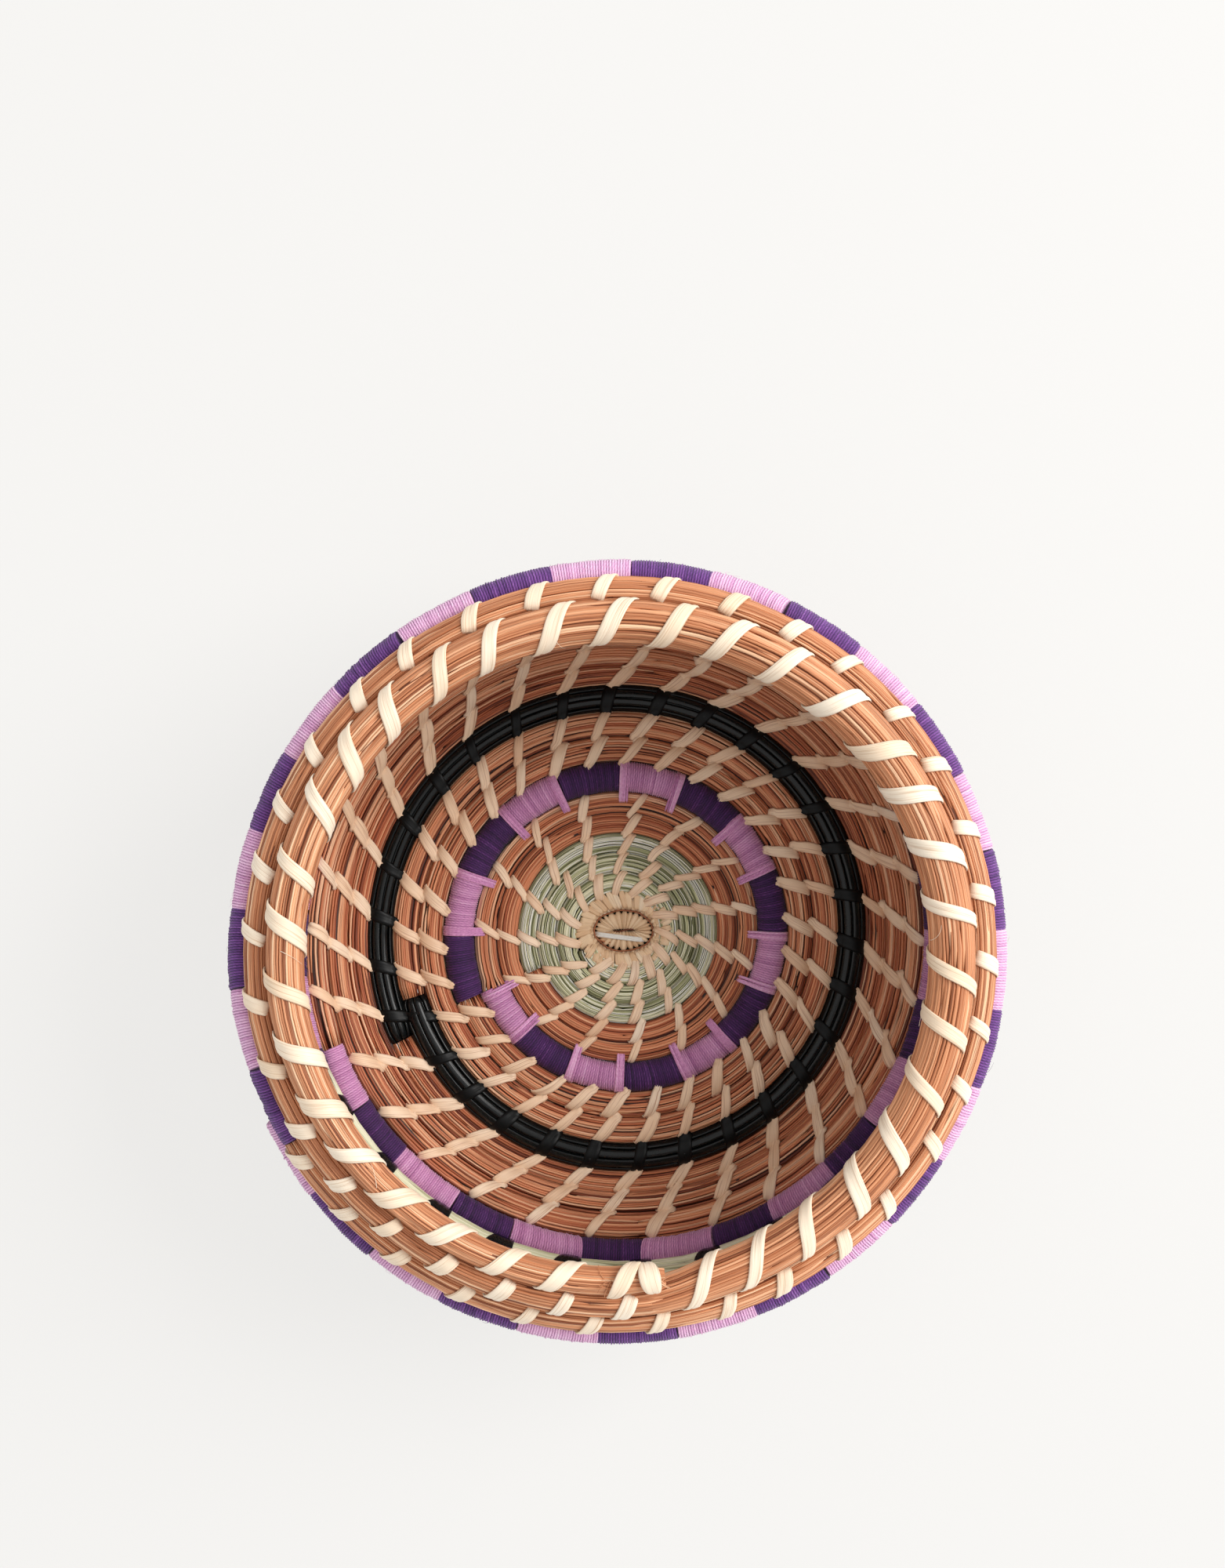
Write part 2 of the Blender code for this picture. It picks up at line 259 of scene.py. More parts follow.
@dataclass(frozen=True)
class RaffiaFinish:
    """Flat raffia: pale straw colour, satin, with long fine fibres."""

    name: str
    tones: Tuple[Colour, ...]
    fibre_tone: Colour
    roughness: float = 0.5
    fibre_depth: float = 0.10 * MM

    def material(self) -> bpy.types.Material:
        """Build the material."""
        board = Board(self.name)
        along, across, tone = board.lie()
        fibre = board.noise((along * 70.0, across * 3400.0, tone * 43.0), 3.0)
        patch = board.noise((along * 130.0, across * 420.0, tone * 19.0))
        base = board.ramp(tone * 0.8 + patch * 0.3, self.tones)
        lined = board.mix((0.48 - fibre) * 3.6, base, linear(self.fibre_tone))
        return board.dress(
            Base_Color=lined,
            Roughness=self.roughness + (fibre - 0.5) * 0.3,
            Normal=board.bump(fibre, self.fibre_depth),
            Sheen_Weight=0.15,
        )


@dataclass(frozen=True)
class ThreadFinish:
    """Wound cotton thread: soft, matte, with its twist showing."""

    name: str
    tones: Tuple[Colour, ...]
    twists_along: float = 5200.0
    twists_across: float = 9000.0
    twist_depth: float = 0.09 * MM
    roughness: float = 0.75
    sheen: float = 0.35

    def material(self) -> bpy.types.Material:
        """Build the material."""
        board = Board(self.name)
        along, across, tone = board.lie()
        twist = (along * self.twists_along + across * self.twists_across).sine()
        fluff = board.noise((along * 1500.0, across * 1500.0, tone * 31.0), 4.0)
        height = twist * 0.25 + fluff
        base = board.ramp(tone * 0.6 + (fluff - 0.5) * 0.7 + twist * 0.05 + 0.18, self.tones)
        return board.dress(
            Base_Color=base,
            Roughness=self.roughness + (fluff - 0.5) * 0.2,
            Normal=board.bump(height, self.twist_depth),
            Sheen_Weight=self.sheen,
            Sheen_Roughness=0.5,
        )


@dataclass(frozen=True)
class GlossFinish:
    """Flat black strips: dyed, glossy, with fine grooves along them."""

    name: str
    tones: Tuple[Colour, ...]
    roughness: float = 0.24
    groove_depth: float = 0.05 * MM
    shine: float = 0.35

    def material(self) -> bpy.types.Material:
        """Build the material."""
        board = Board(self.name)
        along, across, tone = board.lie()
        groove = board.noise((along * 60.0, across * 3000.0, tone * 29.0), 2.0)
        scuff = board.noise((along * 400.0, across * 900.0, tone * 11.0), 4.0)
        return board.dress(
            Base_Color=board.ramp(tone * 0.6 + scuff * 0.4, self.tones),
            Roughness=self.roughness + (scuff - 0.5) * 0.3,
            Normal=board.bump(groove, self.groove_depth),
            Specular_IOR_Level=self.shine,
        )


class Finishes(Enum):
    """The finishes that the basket is made in."""

    # Needles of the lit shoulder and rim: their darkest tones are lighter than the inside copy's, painted light.
    NEEDLES = StemFinish(
        "dried_pine_needles",
        ((60, 29, 16), (134, 74, 44), (188, 120, 80), (213, 145, 102), (230, 168, 125), (246, 202, 163)),
        (104, 53, 30),
    )
    # A darker, redder copy of the needles for the rows inside the bowl: painted shade of the interior.
    SHADED_INSIDE_NEEDLES = StemFinish(
        "dried_pine_needles_painted_shade_inside",
        ((26, 10, 5), (108, 47, 26), (184, 101, 66), (220, 139, 98), (236, 165, 122), (246, 194, 156)),
        (74, 30, 16),
    )
    GREEN = StemFinish(
        "sage_green_grass",
        ((38, 40, 22), (124, 124, 84), (202, 202, 156), (240, 235, 200), (254, 249, 228), (255, 253, 246)),
        (102, 104, 66),
        roughness=0.55,
    )
    PALE = StemFinish(
        "pale_green_grass",
        ((90, 92, 62), (206, 204, 164), (228, 226, 192), (238, 235, 206), (244, 240, 216), (250, 246, 226)),
        (196, 194, 150),
        roughness=0.5,
    )
    RAFFIA = RaffiaFinish(
        "natural_raffia",
        ((218, 184, 148), (238, 211, 179), (248, 229, 204), (253, 240, 220)),
        (200, 160, 120),
    )
    # A pinker copy of the raffia for the stitches inside the bowl: painted warm light bounced from the needles.
    BOUNCE_LIT_INSIDE_RAFFIA = RaffiaFinish(
        "raffia_painted_bounce_light_inside",
        ((224, 176, 138), (246, 206, 170), (254, 222, 190), (255, 234, 210)),
        (190, 134, 98),
    )
    START_RAFFIA = RaffiaFinish(
        "golden_start_raffia",
        ((208, 164, 120), (232, 192, 150), (245, 213, 175), (251, 228, 198)),
        (174, 126, 84),
    )
    WHITE = ThreadFinish("white_cotton_thread", ((225, 220, 212), (250, 248, 242)))
    LILAC = ThreadFinish("lilac_cotton_thread", ((132, 68, 116), (196, 124, 178), (232, 168, 214), (251, 212, 240)))
    PURPLE = ThreadFinish("dark_purple_cotton_thread", ((18, 3, 30), (50, 16, 70), (86, 36, 108), (142, 88, 160)), sheen=0.1)
    FADED_LILAC = ThreadFinish(
        "faded_lilac_cotton_thread", ((160, 96, 148), (220, 158, 206), (246, 200, 234), (254, 230, 248))
    )
    FADED_PURPLE = ThreadFinish(
        "faded_purple_cotton_thread", ((36, 12, 52), (82, 40, 112), (124, 70, 152), (174, 122, 194)), sheen=0.2
    )
    BLACK = GlossFinish("black_dyed_strips", ((6, 8, 9), (14, 18, 19), (26, 31, 33)))
    TIE = GlossFinish("black_dyed_ties", ((4, 5, 6), (9, 11, 12), (16, 19, 20)), roughness=0.42, shine=0.2)

    @cached_property
    def material(self) -> bpy.types.Material:
        """The finish's material, made once."""
        return self.value.material()


@dataclass(frozen=True)
class Coil:
    """The path of the single bundle, with the sizes that the solids have."""

    start_degrees: float = 203.0
    start_radius: float = 5.8 * MM
    floor_height: float = 2.945 * MM
    row_gap: float = 0.6 * MM
    first_rows_room: float = 0.35 * MM
    rim_lean: float = math.radians(144.5)
    rim_start: float = 21.0 + 5.0 / 24.0
    rim_shares: Tuple[float, ...] = (0.0, 0.2, 0.4, 0.55, 0.78, 0.85, 1.0)
    rim_thicknesses: Tuple[float, ...] = (9.2, 10.2, 9.8, 8.9, 8.1, 6.2, 5.8)
    rim_squareness: float = 0.02
    edges: Tuple[float, ...] = (0, 3, 5, 6, 8, 9, 12, 13, 19, 20)
    thicknesses: Tuple[float, ...] = (3.0, 4.5, 4.6, 7.1, 6.2, 6.8, 6.4, 6.6, 6.1, 6.6, 6.8)
    squareness: Tuple[float, ...] = (0.0, 0.09, 0.09, 0.03, 0.09, 0.06, 0.09, 0.03, 0.08, 0.03, 0.08)
    leans: Tuple[float, ...] = (30, 44, 52, 57, 77, 83, 86, 88, 87, 85, 115, 130.4, 149)
    first_wall_turn: int = 9
    rim_join: float = 0.03
    end_taper: float = 0.016
    end_size: float = 0.75
    shift_turns: Tuple[float, ...] = (
        11.92, 12.03, 12.22, 12.34, 12.92, 13.03, 13.22, 13.34,
        18.0, 18.12, 18.3, 18.5, 18.66, 18.9, 19.006, 19.0075, 19.06, 19.18,
        19.32, 19.5, 19.66, 19.96, 20.06, 20.28, 20.5, 20.68, 20.96, 21.07, 21.2,
    )
    shifts: Tuple[float, ...] = (
        0.0, 0.9, 0.6, -1.1, 0.0, 1.3, 1.3, 0.0,
        0.0, -0.6, -1.5, -1.4, -0.6, -0.9, -0.9, 0.45, 0.7, 0.0,
        -1.5, -0.5, 1.2, 1.35, -0.65, -2.35, -0.75, 0.35, 0.95, -0.95, -1.7,
    )

    def _of_row(self, turn: int) -> float:
        """Thickness of the row that begins at a whole turn."""
        return self.thicknesses[int(np.searchsorted(self.edges, turn, "right"))] * MM

    def _spacing(self, turn: int) -> float:
        """Distance from the row of this turn to the next."""
        return (self._of_row(turn) + self._of_row(turn + 1)) / 2 + self.row_gap

    @cached_property
    def stations(self) -> Tuple[Array, Array, Array]:
        """Whole turns, with the radius and height of the bundle's middle there."""
        radius, height = self.start_radius, self.floor_height
        rows = [(-1.0, radius, height)]
        for turn in range(-1, self.first_wall_turn + len(self.leans)):
            wall = turn - self.first_wall_turn
            lean = math.radians(self.leans[wall]) if wall >= 0 else 0.0
            spacing = self._spacing(turn)
            if turn > -1:
                spacing = max(spacing, self._spacing(turn - 1))
            if turn <= 0:
                spacing += self.first_rows_room
            radius += spacing * math.cos(lean)
            height += spacing * math.sin(lean)
            rows.append((turn + 1.0, radius, height))
        turns, radii, heights = np.array(rows).T
        return turns, radii, heights

    @property
    def end(self) -> float:
        """Turn number at which the bundle ends."""
        return self.rim_start + 1.0

    def _rim_share(self, turns: Array) -> Array:
        """How far the bundle has swollen into the rim at each turn number, from 0 to 1."""
        share = np.clip((turns - self.rim_start) / (2 * self.rim_join) + 0.5, 0, 1)
        return share * share * (3 - 2 * share)

    def thickness(self, turns: Array) -> Array:
        """Thickness of the bundle at each turn number."""
        turns = np.asarray(turns, float)
        rows = (np.array(self.thicknesses) * MM)[np.searchsorted(self.edges, turns, "right")]
        rim = np.interp(turns - self.rim_start, self.rim_shares, self.rim_thicknesses) * MM
        left = np.clip((self.end - turns) / self.end_taper, 0, 1)
        rim = rim * (self.end_size + (1 - self.end_size) * left)
        return rows + (rim - rows) * self._rim_share(turns)

    def _row_middle(self, turns: Array) -> Tuple[Array, Array]:
        """Radius and height of the even spiral, before it becomes the rim."""
        radius = np.interp(turns, self.stations[0], self.stations[1])
        radius = radius + np.interp(turns, self.shift_turns, self.shifts) * MM
        height = np.interp(turns, self.stations[0], self.stations[2])
        half = (self.thickness(turns) + self.row_gap) / 2
        return radius, np.where(turns < self.first_wall_turn, half, np.maximum(height, half))

    def middle(self, turns: Array) -> Tuple[Array, Array]:
        """Radius and height of the bundle's middle at each turn number."""
        turns = np.asarray(turns, float)
        radius, height = self._row_middle(turns)
        below, floor = self._row_middle(turns - 1)
        reach = (self.thickness(turns - 1) + self.thickness(turns)) / 2 + self.row_gap
        share = self._rim_share(turns)
        radius = radius + (below + reach * math.cos(self.rim_lean) - radius) * share
        return radius, height + (floor + reach * math.sin(self.rim_lean) - height) * share

    def step(self, turns: Array, rows: int) -> Tuple[Array, Array]:
        """Lean and length of the step from row to row.

        Args:
            turns: turn numbers.
            rows: 1 for the step out to the next row, -1 for the one from the last.

        Returns:
            The lean in radians and the share of the step that this row fills.
        """
        turns = np.asarray(turns, float)
        here, there = self.middle(turns), self.middle(turns + rows)
        run, rise = rows * (there[0] - here[0]), rows * (there[1] - here[1])
        size, other = self.thickness(turns), self.thickness(turns + rows)
        fill = np.hypot(run, rise) * size / (size + other)
        known = (turns + rows >= -1) & (turns + rows <= self.end)
        return np.where(known, np.arctan2(rise, run), np.nan), np.where(known, fill, size / 2)

    def leans_of(self, turns: Array) -> Tuple[Array, Array]:
        """Lean of the steps into and out of each turn number."""
        into, out = self.step(turns, -1)[0], self.step(turns, 1)[0]
        return np.where(np.isnan(into), out, into), np.where(np.isnan(out), into, out)

    def section(self, turns: Array, angles: Array) -> Array:
        """Half thickness of the bundle's section.

        Args:
            turns: turn numbers.
            angles: directions in the section, in radians from level outward.

        Returns:
            Distance from the bundle's middle to its surface.
        """
        into, out = self.leans_of(turns)
        inner, outer = self.step(turns, -1)[1], self.step(turns, 1)[1]
        half = (self.thickness(turns) + self.row_gap) / 2
        to_outer = np.clip(np.cos(angles - out), 0, 1) ** 2
        to_inner = np.clip(-np.cos(angles - into), 0, 1) ** 2
        plain = half + (outer - half) * to_outer + (inner - half) * to_inner
        square = np.array(self.squareness)[np.searchsorted(self.edges, turns, "right")]
        square = square + (self.rim_squareness - square) * self._rim_share(turns)
        return plain * (1 + square * np.sin(2 * angles - into - out) ** 2)

    def place(self, turns: Array, angles: Array, lift: Value = 0.0, share: Value = 1.0) -> Tuple[Array, Array]:
        """Points on the bundle's surface.

        Args:
            turns: turn numbers.
            angles: directions in the section.
            lift: distance above the surface.
            share: share of the section's half thickness that is used.

        Returns:
            The points and the section's directions there.
        """
        turns, angles = np.broadcast_arrays(np.asarray(turns, float), np.asarray(angles, float))
        radius, height = self.middle(turns)
        reach = self.section(turns, angles) * share + lift
        round_angle = math.radians(self.start_degrees) + math.tau * turns
        cos_round, sin_round = np.cos(round_angle), np.sin(round_angle)
        level, up = np.cos(angles), np.sin(angles)
        spread = radius + reach * level
        points = np.stack([spread * cos_round, spread * sin_round, height + reach * up], -1)
        normals = np.stack([level * cos_round, level * sin_round, up], -1)
        return points, normals

    def turns_for(self, length: Array, turns: Array) -> Array:
        """Share of a turn that a length round the basket takes at each turn number."""
        return np.asarray(length) / (math.tau * self.middle(turns)[0])


COIL = Coil()

NEEDLE_SHAPE = np.array([(-1.0, 0.0), (-0.55, 0.8), (0.55, 0.8), (1.0, 0.0), (0.0, -0.9)])
FINE_SHAPE = np.array([(-1.0, 0.0), (0.0, 1.0), (1.0, 0.0), (0.0, -0.8)])
RIBBON_SHAPE = np.array([(-1.0, 0.0), (-0.72, 0.75), (0.0, 1.0), (0.72, 0.75), (1.0, 0.0), (0.0, -0.6)])
RAFFIA_SHAPE = np.array(
    [(-1.0, 0.0), (-0.86, 0.8), (-0.36, 1.0), (0.02, 0.62), (0.46, 1.0), (0.88, 0.72), (1.0, 0.0), (0.0, -0.5)]
)
ROUND_SHAPE = np.array(
    [(-math.cos(math.tau * k / 8), math.sin(math.tau * k / 8)) for k in range(8)]
)


def unit(vectors: Array) -> Array:
    """Vectors at length one."""
    return vectors / np.maximum(np.linalg.norm(vectors, axis=-1, keepdims=True), 1e-12)


class Gather:
    """Closed tubes gathered into one mesh, each with a note of how it lies."""

    def __init__(self) -> None:
        """Start empty."""
        self._points: List[Array] = []
        self._notes: List[Array] = []
        self._corners: List[Array] = []
        self._sizes: List[Array] = []
        self._count = 0

    def add(self, rings: Array, notes: Array) -> None:
        """Add one tube, closed at both ends.

        Args:
            rings: points as rings, each going left, up, right and down seen from behind.
            notes: metres along, metres across and tone for every point.
        """
        count, sides = rings.shape[:2]
        ids = np.arange(count * sides).reshape(count, sides) + self._count
        beside = np.roll(ids, -1, axis=1)
        quads = np.stack([ids[:-1], beside[:-1], beside[1:], ids[1:]], -1).reshape(-1, 4)
        self._corners += [quads.ravel(), ids[0][::-1], ids[-1]]
        self._sizes.append(np.array([4] * len(quads) + [sides, sides]))
        self._points.append(rings.reshape(-1, 3))
        self._notes.append(notes.reshape(-1, 3))
        self._count += count * sides

    def sweep(
        self,
        path: Array,
        normals: Array,
        half_width: Value,
        half_height: Value,
        shape: Array,
        tone: float,
        along_from: float = 0.0,
    ) -> None:
        """Sweep a section along a path and add the tube.

        Args:
            path: the points of the path.
            normals: the way up at each point.
            half_width: half the section's width at each point.
            half_height: half its height.
            shape: the section for half sizes of one.
            tone: the tube's own tone, from 0 to 1.
            along_from: where its metres along begin.
        """
        forward = unit(np.gradient(path, axis=0))
        side = unit(np.cross(forward, normals))
        up = np.cross(side, forward)
        width = np.broadcast_to(half_width, len(path))[:, None]
        height = np.broadcast_to(half_height, len(path))[:, None]
        across = width * shape[:, 0]
        rings = path[:, None] + side[:, None] * across[..., None]
        rings = rings + up[:, None] * (height * shape[:, 1])[..., None]
        steps = np.linalg.norm(np.diff(path, axis=0), axis=1)
        along = along_from + np.concatenate([[0.0], np.cumsum(steps)])
        notes = np.stack(np.broadcast_arrays(along[:, None], across, tone), -1)
        self.add(rings, notes)

    def build(self, name: str, finish: Finishes, slot: str, nodes: Sequence[str] = ()) -> bpy.types.Object:
        """Make the object and hand it to the frame.

        Args:
            name: the piece's name.
            finish: what it is made in.
            slot: not used.
            nodes: the solids that it stands for.

        Returns:
            The object.
        """
        mesh = bpy.data.meshes.new(name)
        points, notes = np.concatenate(self._points), np.concatenate(self._notes)
        corners, sizes = np.concatenate(self._corners), np.concatenate(self._sizes)
        mesh.vertices.add(len(points))
        mesh.vertices.foreach_set("co", points.astype(np.float32).ravel())
        mesh.loops.add(len(corners))
        mesh.loops.foreach_set("vertex_index", corners.astype(np.int32))
        mesh.polygons.add(len(sizes))
        starts = np.concatenate([[0], np.cumsum(sizes)[:-1]])
        mesh.polygons.foreach_set("loop_start", starts.astype(np.int32))
        mesh.polygons.foreach_set("use_smooth", np.ones(len(sizes), bool))
        mesh.update(calc_edges=True)
        mesh.validate()
        lie = mesh.attributes.new("lie", "FLOAT_VECTOR", "POINT")
        lie.data.foreach_set("vector", notes.astype(np.float32).ravel())
        mesh.materials.append(finish.material)
        piece = bpy.data.objects.new(name, mesh)
        bpy.context.scene.collection.objects.link(piece)
        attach(piece, ROOT)
        if nodes:
            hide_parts(*nodes)
        triangles = int((sizes - 2).sum())
        LOG.info("%s: %d triangles", name, triangles)
        return piece


def wander(draw: np.random.Generator, places: Array, pace: float, size: float) -> Array:
    """A smooth random walk about zero.

    Args:
        draw: where random numbers come from.
        places: where it is read, in metres, rising.
        pace: metres between its turns.
        size: its spread.

    Returns:
        Its value at each place.
    """
    knots = np.arange(places[0] - pace, places[-1] + 2 * pace, pace)
    values = draw.normal(0.0, size, len(knots))
    fine = np.linspace(knots[0], knots[-1], 4 * len(knots))
    smooth = np.convolve(np.interp(fine, knots, values), np.ones(5) / 5, "same")
    return np.interp(places, fine, smooth)


class Face(Enum):
    """The two faces of the coil: the one that the mouth shows, and the other."""

    INSIDE = 1
    OUTSIDE = -1


@dataclass(frozen=True)
class Stitching:
    """One run of stitches along the coil, evenly spaced, so that they stand in chains."""

    first: float
    last: float
    a_stitch: float
    per_turn: float
    length_round: float

    @property
    def pitch(self) -> float:
        """Turns from stitch to stitch."""
        return 1.0 / self.per_turn

    @property
    def turns(self) -> Array:
        """Turn number of each stitch's middle."""
        low = math.ceil((self.first - self.a_stitch) / self.pitch)
        high = math.floor((self.last - self.a_stitch) / self.pitch)
        return self.a_stitch + np.arange(low, high + 1) * self.pitch


CENTRE_CHAINS = Stitching(0.06, 4.98, 0.10, 15 / (1 - 2.6 / FULL_TURN), 4.4 * MM)
FLOOR_CHAINS = Stitching(6.0, 7.968, 8.727, 30 / (1 - 2.8 / FULL_TURN), 6.6 * MM)
BLACK_TIES = Stitching(7.985, 8.995, 8.727, 30 / (1 - 2.8 / FULL_TURN), 3.4 * MM)
WALL_CHAINS = Stitching(9.012, 11.985, 8.727, 30 / (1 - 2.8 / FULL_TURN), 7.6 * MM)


@dataclass(frozen=True)
class StemRow:
    """A stretch of the coil made of stems laid side by side over a core that is painted dark: painted shade between
    the stems.
    """

    name: str
    nodes: Tuple[str, ...]
    first: float
    last: float
    finish: Finishes
    slot: str
    inside: int = 10
    outside: int = 10
    rings_per_turn: int = 120
    stem_height: float = 0.55 * MM
    shape: Tuple[Tuple[float, float], ...] = tuple(map(tuple, NEEDLE_SHAPE))
    longest: float = 0.19
    shortest: float = 0.07
    tone_middle: float = 0.62
    tone_spread: float = 0.21
    sway: float = 0.30
    sway_pace: float = 28 * MM
    edge_clear: float = math.radians(13.0)
    core_share: float = 0.86
    core_sides: int = 12
    fill: float = 1.0
    core_taper: float = 0.02
    # Tone of the core: painted shade between the stems, lighter on the lit shoulder and rim rows.
    core_painted_shade_tone: float = 0.02
    seed: int = 1

    def _arcs(self, turns: Array) -> List[Tuple[Array, Array, int]]:
        """The visible arcs of the section: where each begins, ends, and its stem count."""
        into, out = COIL.leans_of(turns)
        clear = self.edge_clear
        inner = (into + math.pi - clear, out + clear, self.inside)
        outer = (into + math.pi + clear, out + math.tau - clear, self.outside)
        return [inner, outer]

    def _cuts(self, draw: np.random.Generator, length: float, rings: int) -> List[Tuple[int, int]]:
        """Where one stem ends and the next begins, as pairs of ring numbers."""
        marks, place = [], -draw.uniform(0, self.shortest)
        while place < length:
            place += draw.uniform(self.shortest, self.longest)
            marks.append(place)
        cuts = [round(mark / length * (rings - 1)) for mark in marks if mark < length]
        bounds = [0] + [cut for cut in cuts if 3 < cut < rings - 4] + [rings - 1]
        return [(a, b) for a, b in zip(bounds, bounds[1:]) if b - a > 1]

    def build(self) -> bpy.types.Object:
        """Lay the stems and the core, and make the piece."""
        draw = np.random.default_rng(self.seed)
        gather = Gather()
        count = max(4, math.ceil((self.last - self.first) * self.rings_per_turn) + 1)
        turns = np.linspace(self.first, self.last, count)
        places = np.concatenate(
            [[0.0], np.cumsum(np.diff(turns) * math.tau * COIL.middle(turns[1:])[0])]
        )
        for start, end, stems in self._arcs(turns):
            width = np.abs(end - start) / stems
            for stem in range(stems):
                self._lay(gather, draw, turns, places, start, end, (stem + 0.5) / stems, width)
        self._core(gather, turns)
        return gather.build(self.name, self.finish, self.slot, self.nodes)

    def _lay(
        self,
        gather: Gather,
        draw: np.random.Generator,
        turns: Array,
        places: Array,
        start: Array,
        end: Array,
        share: float,
        width: Array,
    ) -> None:
        """Lay one line of stems along the whole stretch."""
        shape = np.array(self.shape)
        sway = wander(draw, places, self.sway_pace, self.sway)
        angles = start + (end - start) * share + sway * width
        rise = wander(draw, places, self.sway_pace / 2, 0.09 * MM) - self.stem_height
        for first, last in self._cuts(draw, places[-1], len(turns)):
            part = slice(first, last + 1)
            size = draw.uniform(0.8, 1.25)
            taper = np.ones(last + 1 - first)
            taper[0] = taper[-1] = 0.55
            sink = np.zeros(len(taper))
            sink[0] = sink[-1] = -0.25 * MM
            lift = rise[part] + sink
            path, normals = COIL.place(turns[part], angles[part], lift)
            half = width[part] * COIL.section(turns[part], angles[part]) / 2 * self.fill
            tone = float(np.clip(draw.normal(self.tone_middle, self.tone_spread), 0.22, 1.0))
            gather.sweep(
                path, normals, half * taper * size, self.stem_height * taper, shape, tone, draw.uniform(0, 5)
            )

    def _core(self, gather: Gather, turns: Array) -> None:
        """Lay the core that shows between the stems, painted dark as the shade between them."""
        thin = turns[:: max(1, self.rings_per_turn // 60)]
        thin = np.append(thin[thin < turns[-1]], turns[-1])
        around = -np.arange(self.core_sides) / self.core_sides * math.tau
        inward = np.minimum(thin - self.first, self.last - thin) / self.core_taper
        share = self.core_share * (0.3 + 0.7 * np.clip(inward, 0, 1))[:, None]
        points, _ = COIL.place(thin[:, None], around[None, :], 0.0, share)
        notes = np.zeros_like(points)
        notes[..., 0] = thin[:, None] * 0.3
        # The core's tone, near the darkest of the finish: painted shade between the stems.
        notes[..., 2] = self.core_painted_shade_tone
        gather.add(points, notes)


@dataclass(frozen=True)
class ShadedCrevicePacking:
    """Stems deep between the rows and a bed under the start, so that no light comes through; both are painted dark, as
    painted shade in the crevices and under the start.
    """

    runs: Tuple[Tuple[float, float, str], ...] = ((0.0, 3.0, "green"), (3.0, 12.0, "brown"))
    rings_per_turn: int = 60
    half_width: float = 0.8 * MM
    half_height: float = 0.9 * MM
    # The packing's tone, near the darkest of its finish: painted shade in the crevices.
    tone: float = 0.06
    bed_radius: float = 13.0 * MM
    bed_heights: Tuple[float, float] = (0.3 * MM, 1.1 * MM)

    def build(self) -> None:
        """Lay the packing of both colours and the bed."""
        finishes = {"green": (Finishes.GREEN, "green_grass"), "brown": (Finishes.SHADED_INSIDE_NEEDLES, "brown_needles")}
        for first, last, colour in self.runs:
            gather = Gather()
            turns = np.linspace(first, last, round((last - first) * self.rings_per_turn) + 1)
            _, out = COIL.leans_of(turns)
            path, normals = COIL.place(turns, out)
            gather.sweep(path, np.roll(normals, 1, 0), self.half_width, self.half_height, ROUND_SHAPE, self.tone)
            if first == 0.0:
                around = -np.arange(24) / 24 * math.tau
                flat = self.bed_radius * np.column_stack([np.cos(around), np.sin(around)])
                rings = [np.column_stack([flat, np.full(24, height)]) for height in self.bed_heights]
                # The bed's tone is 0, the darkest of the grass finish: painted shade under the start.
                notes = np.zeros((2, 24, 3))
                gather.add(np.array(rings), notes)
            gather.build(f"crevice_packing_{colour}", *finishes[colour])


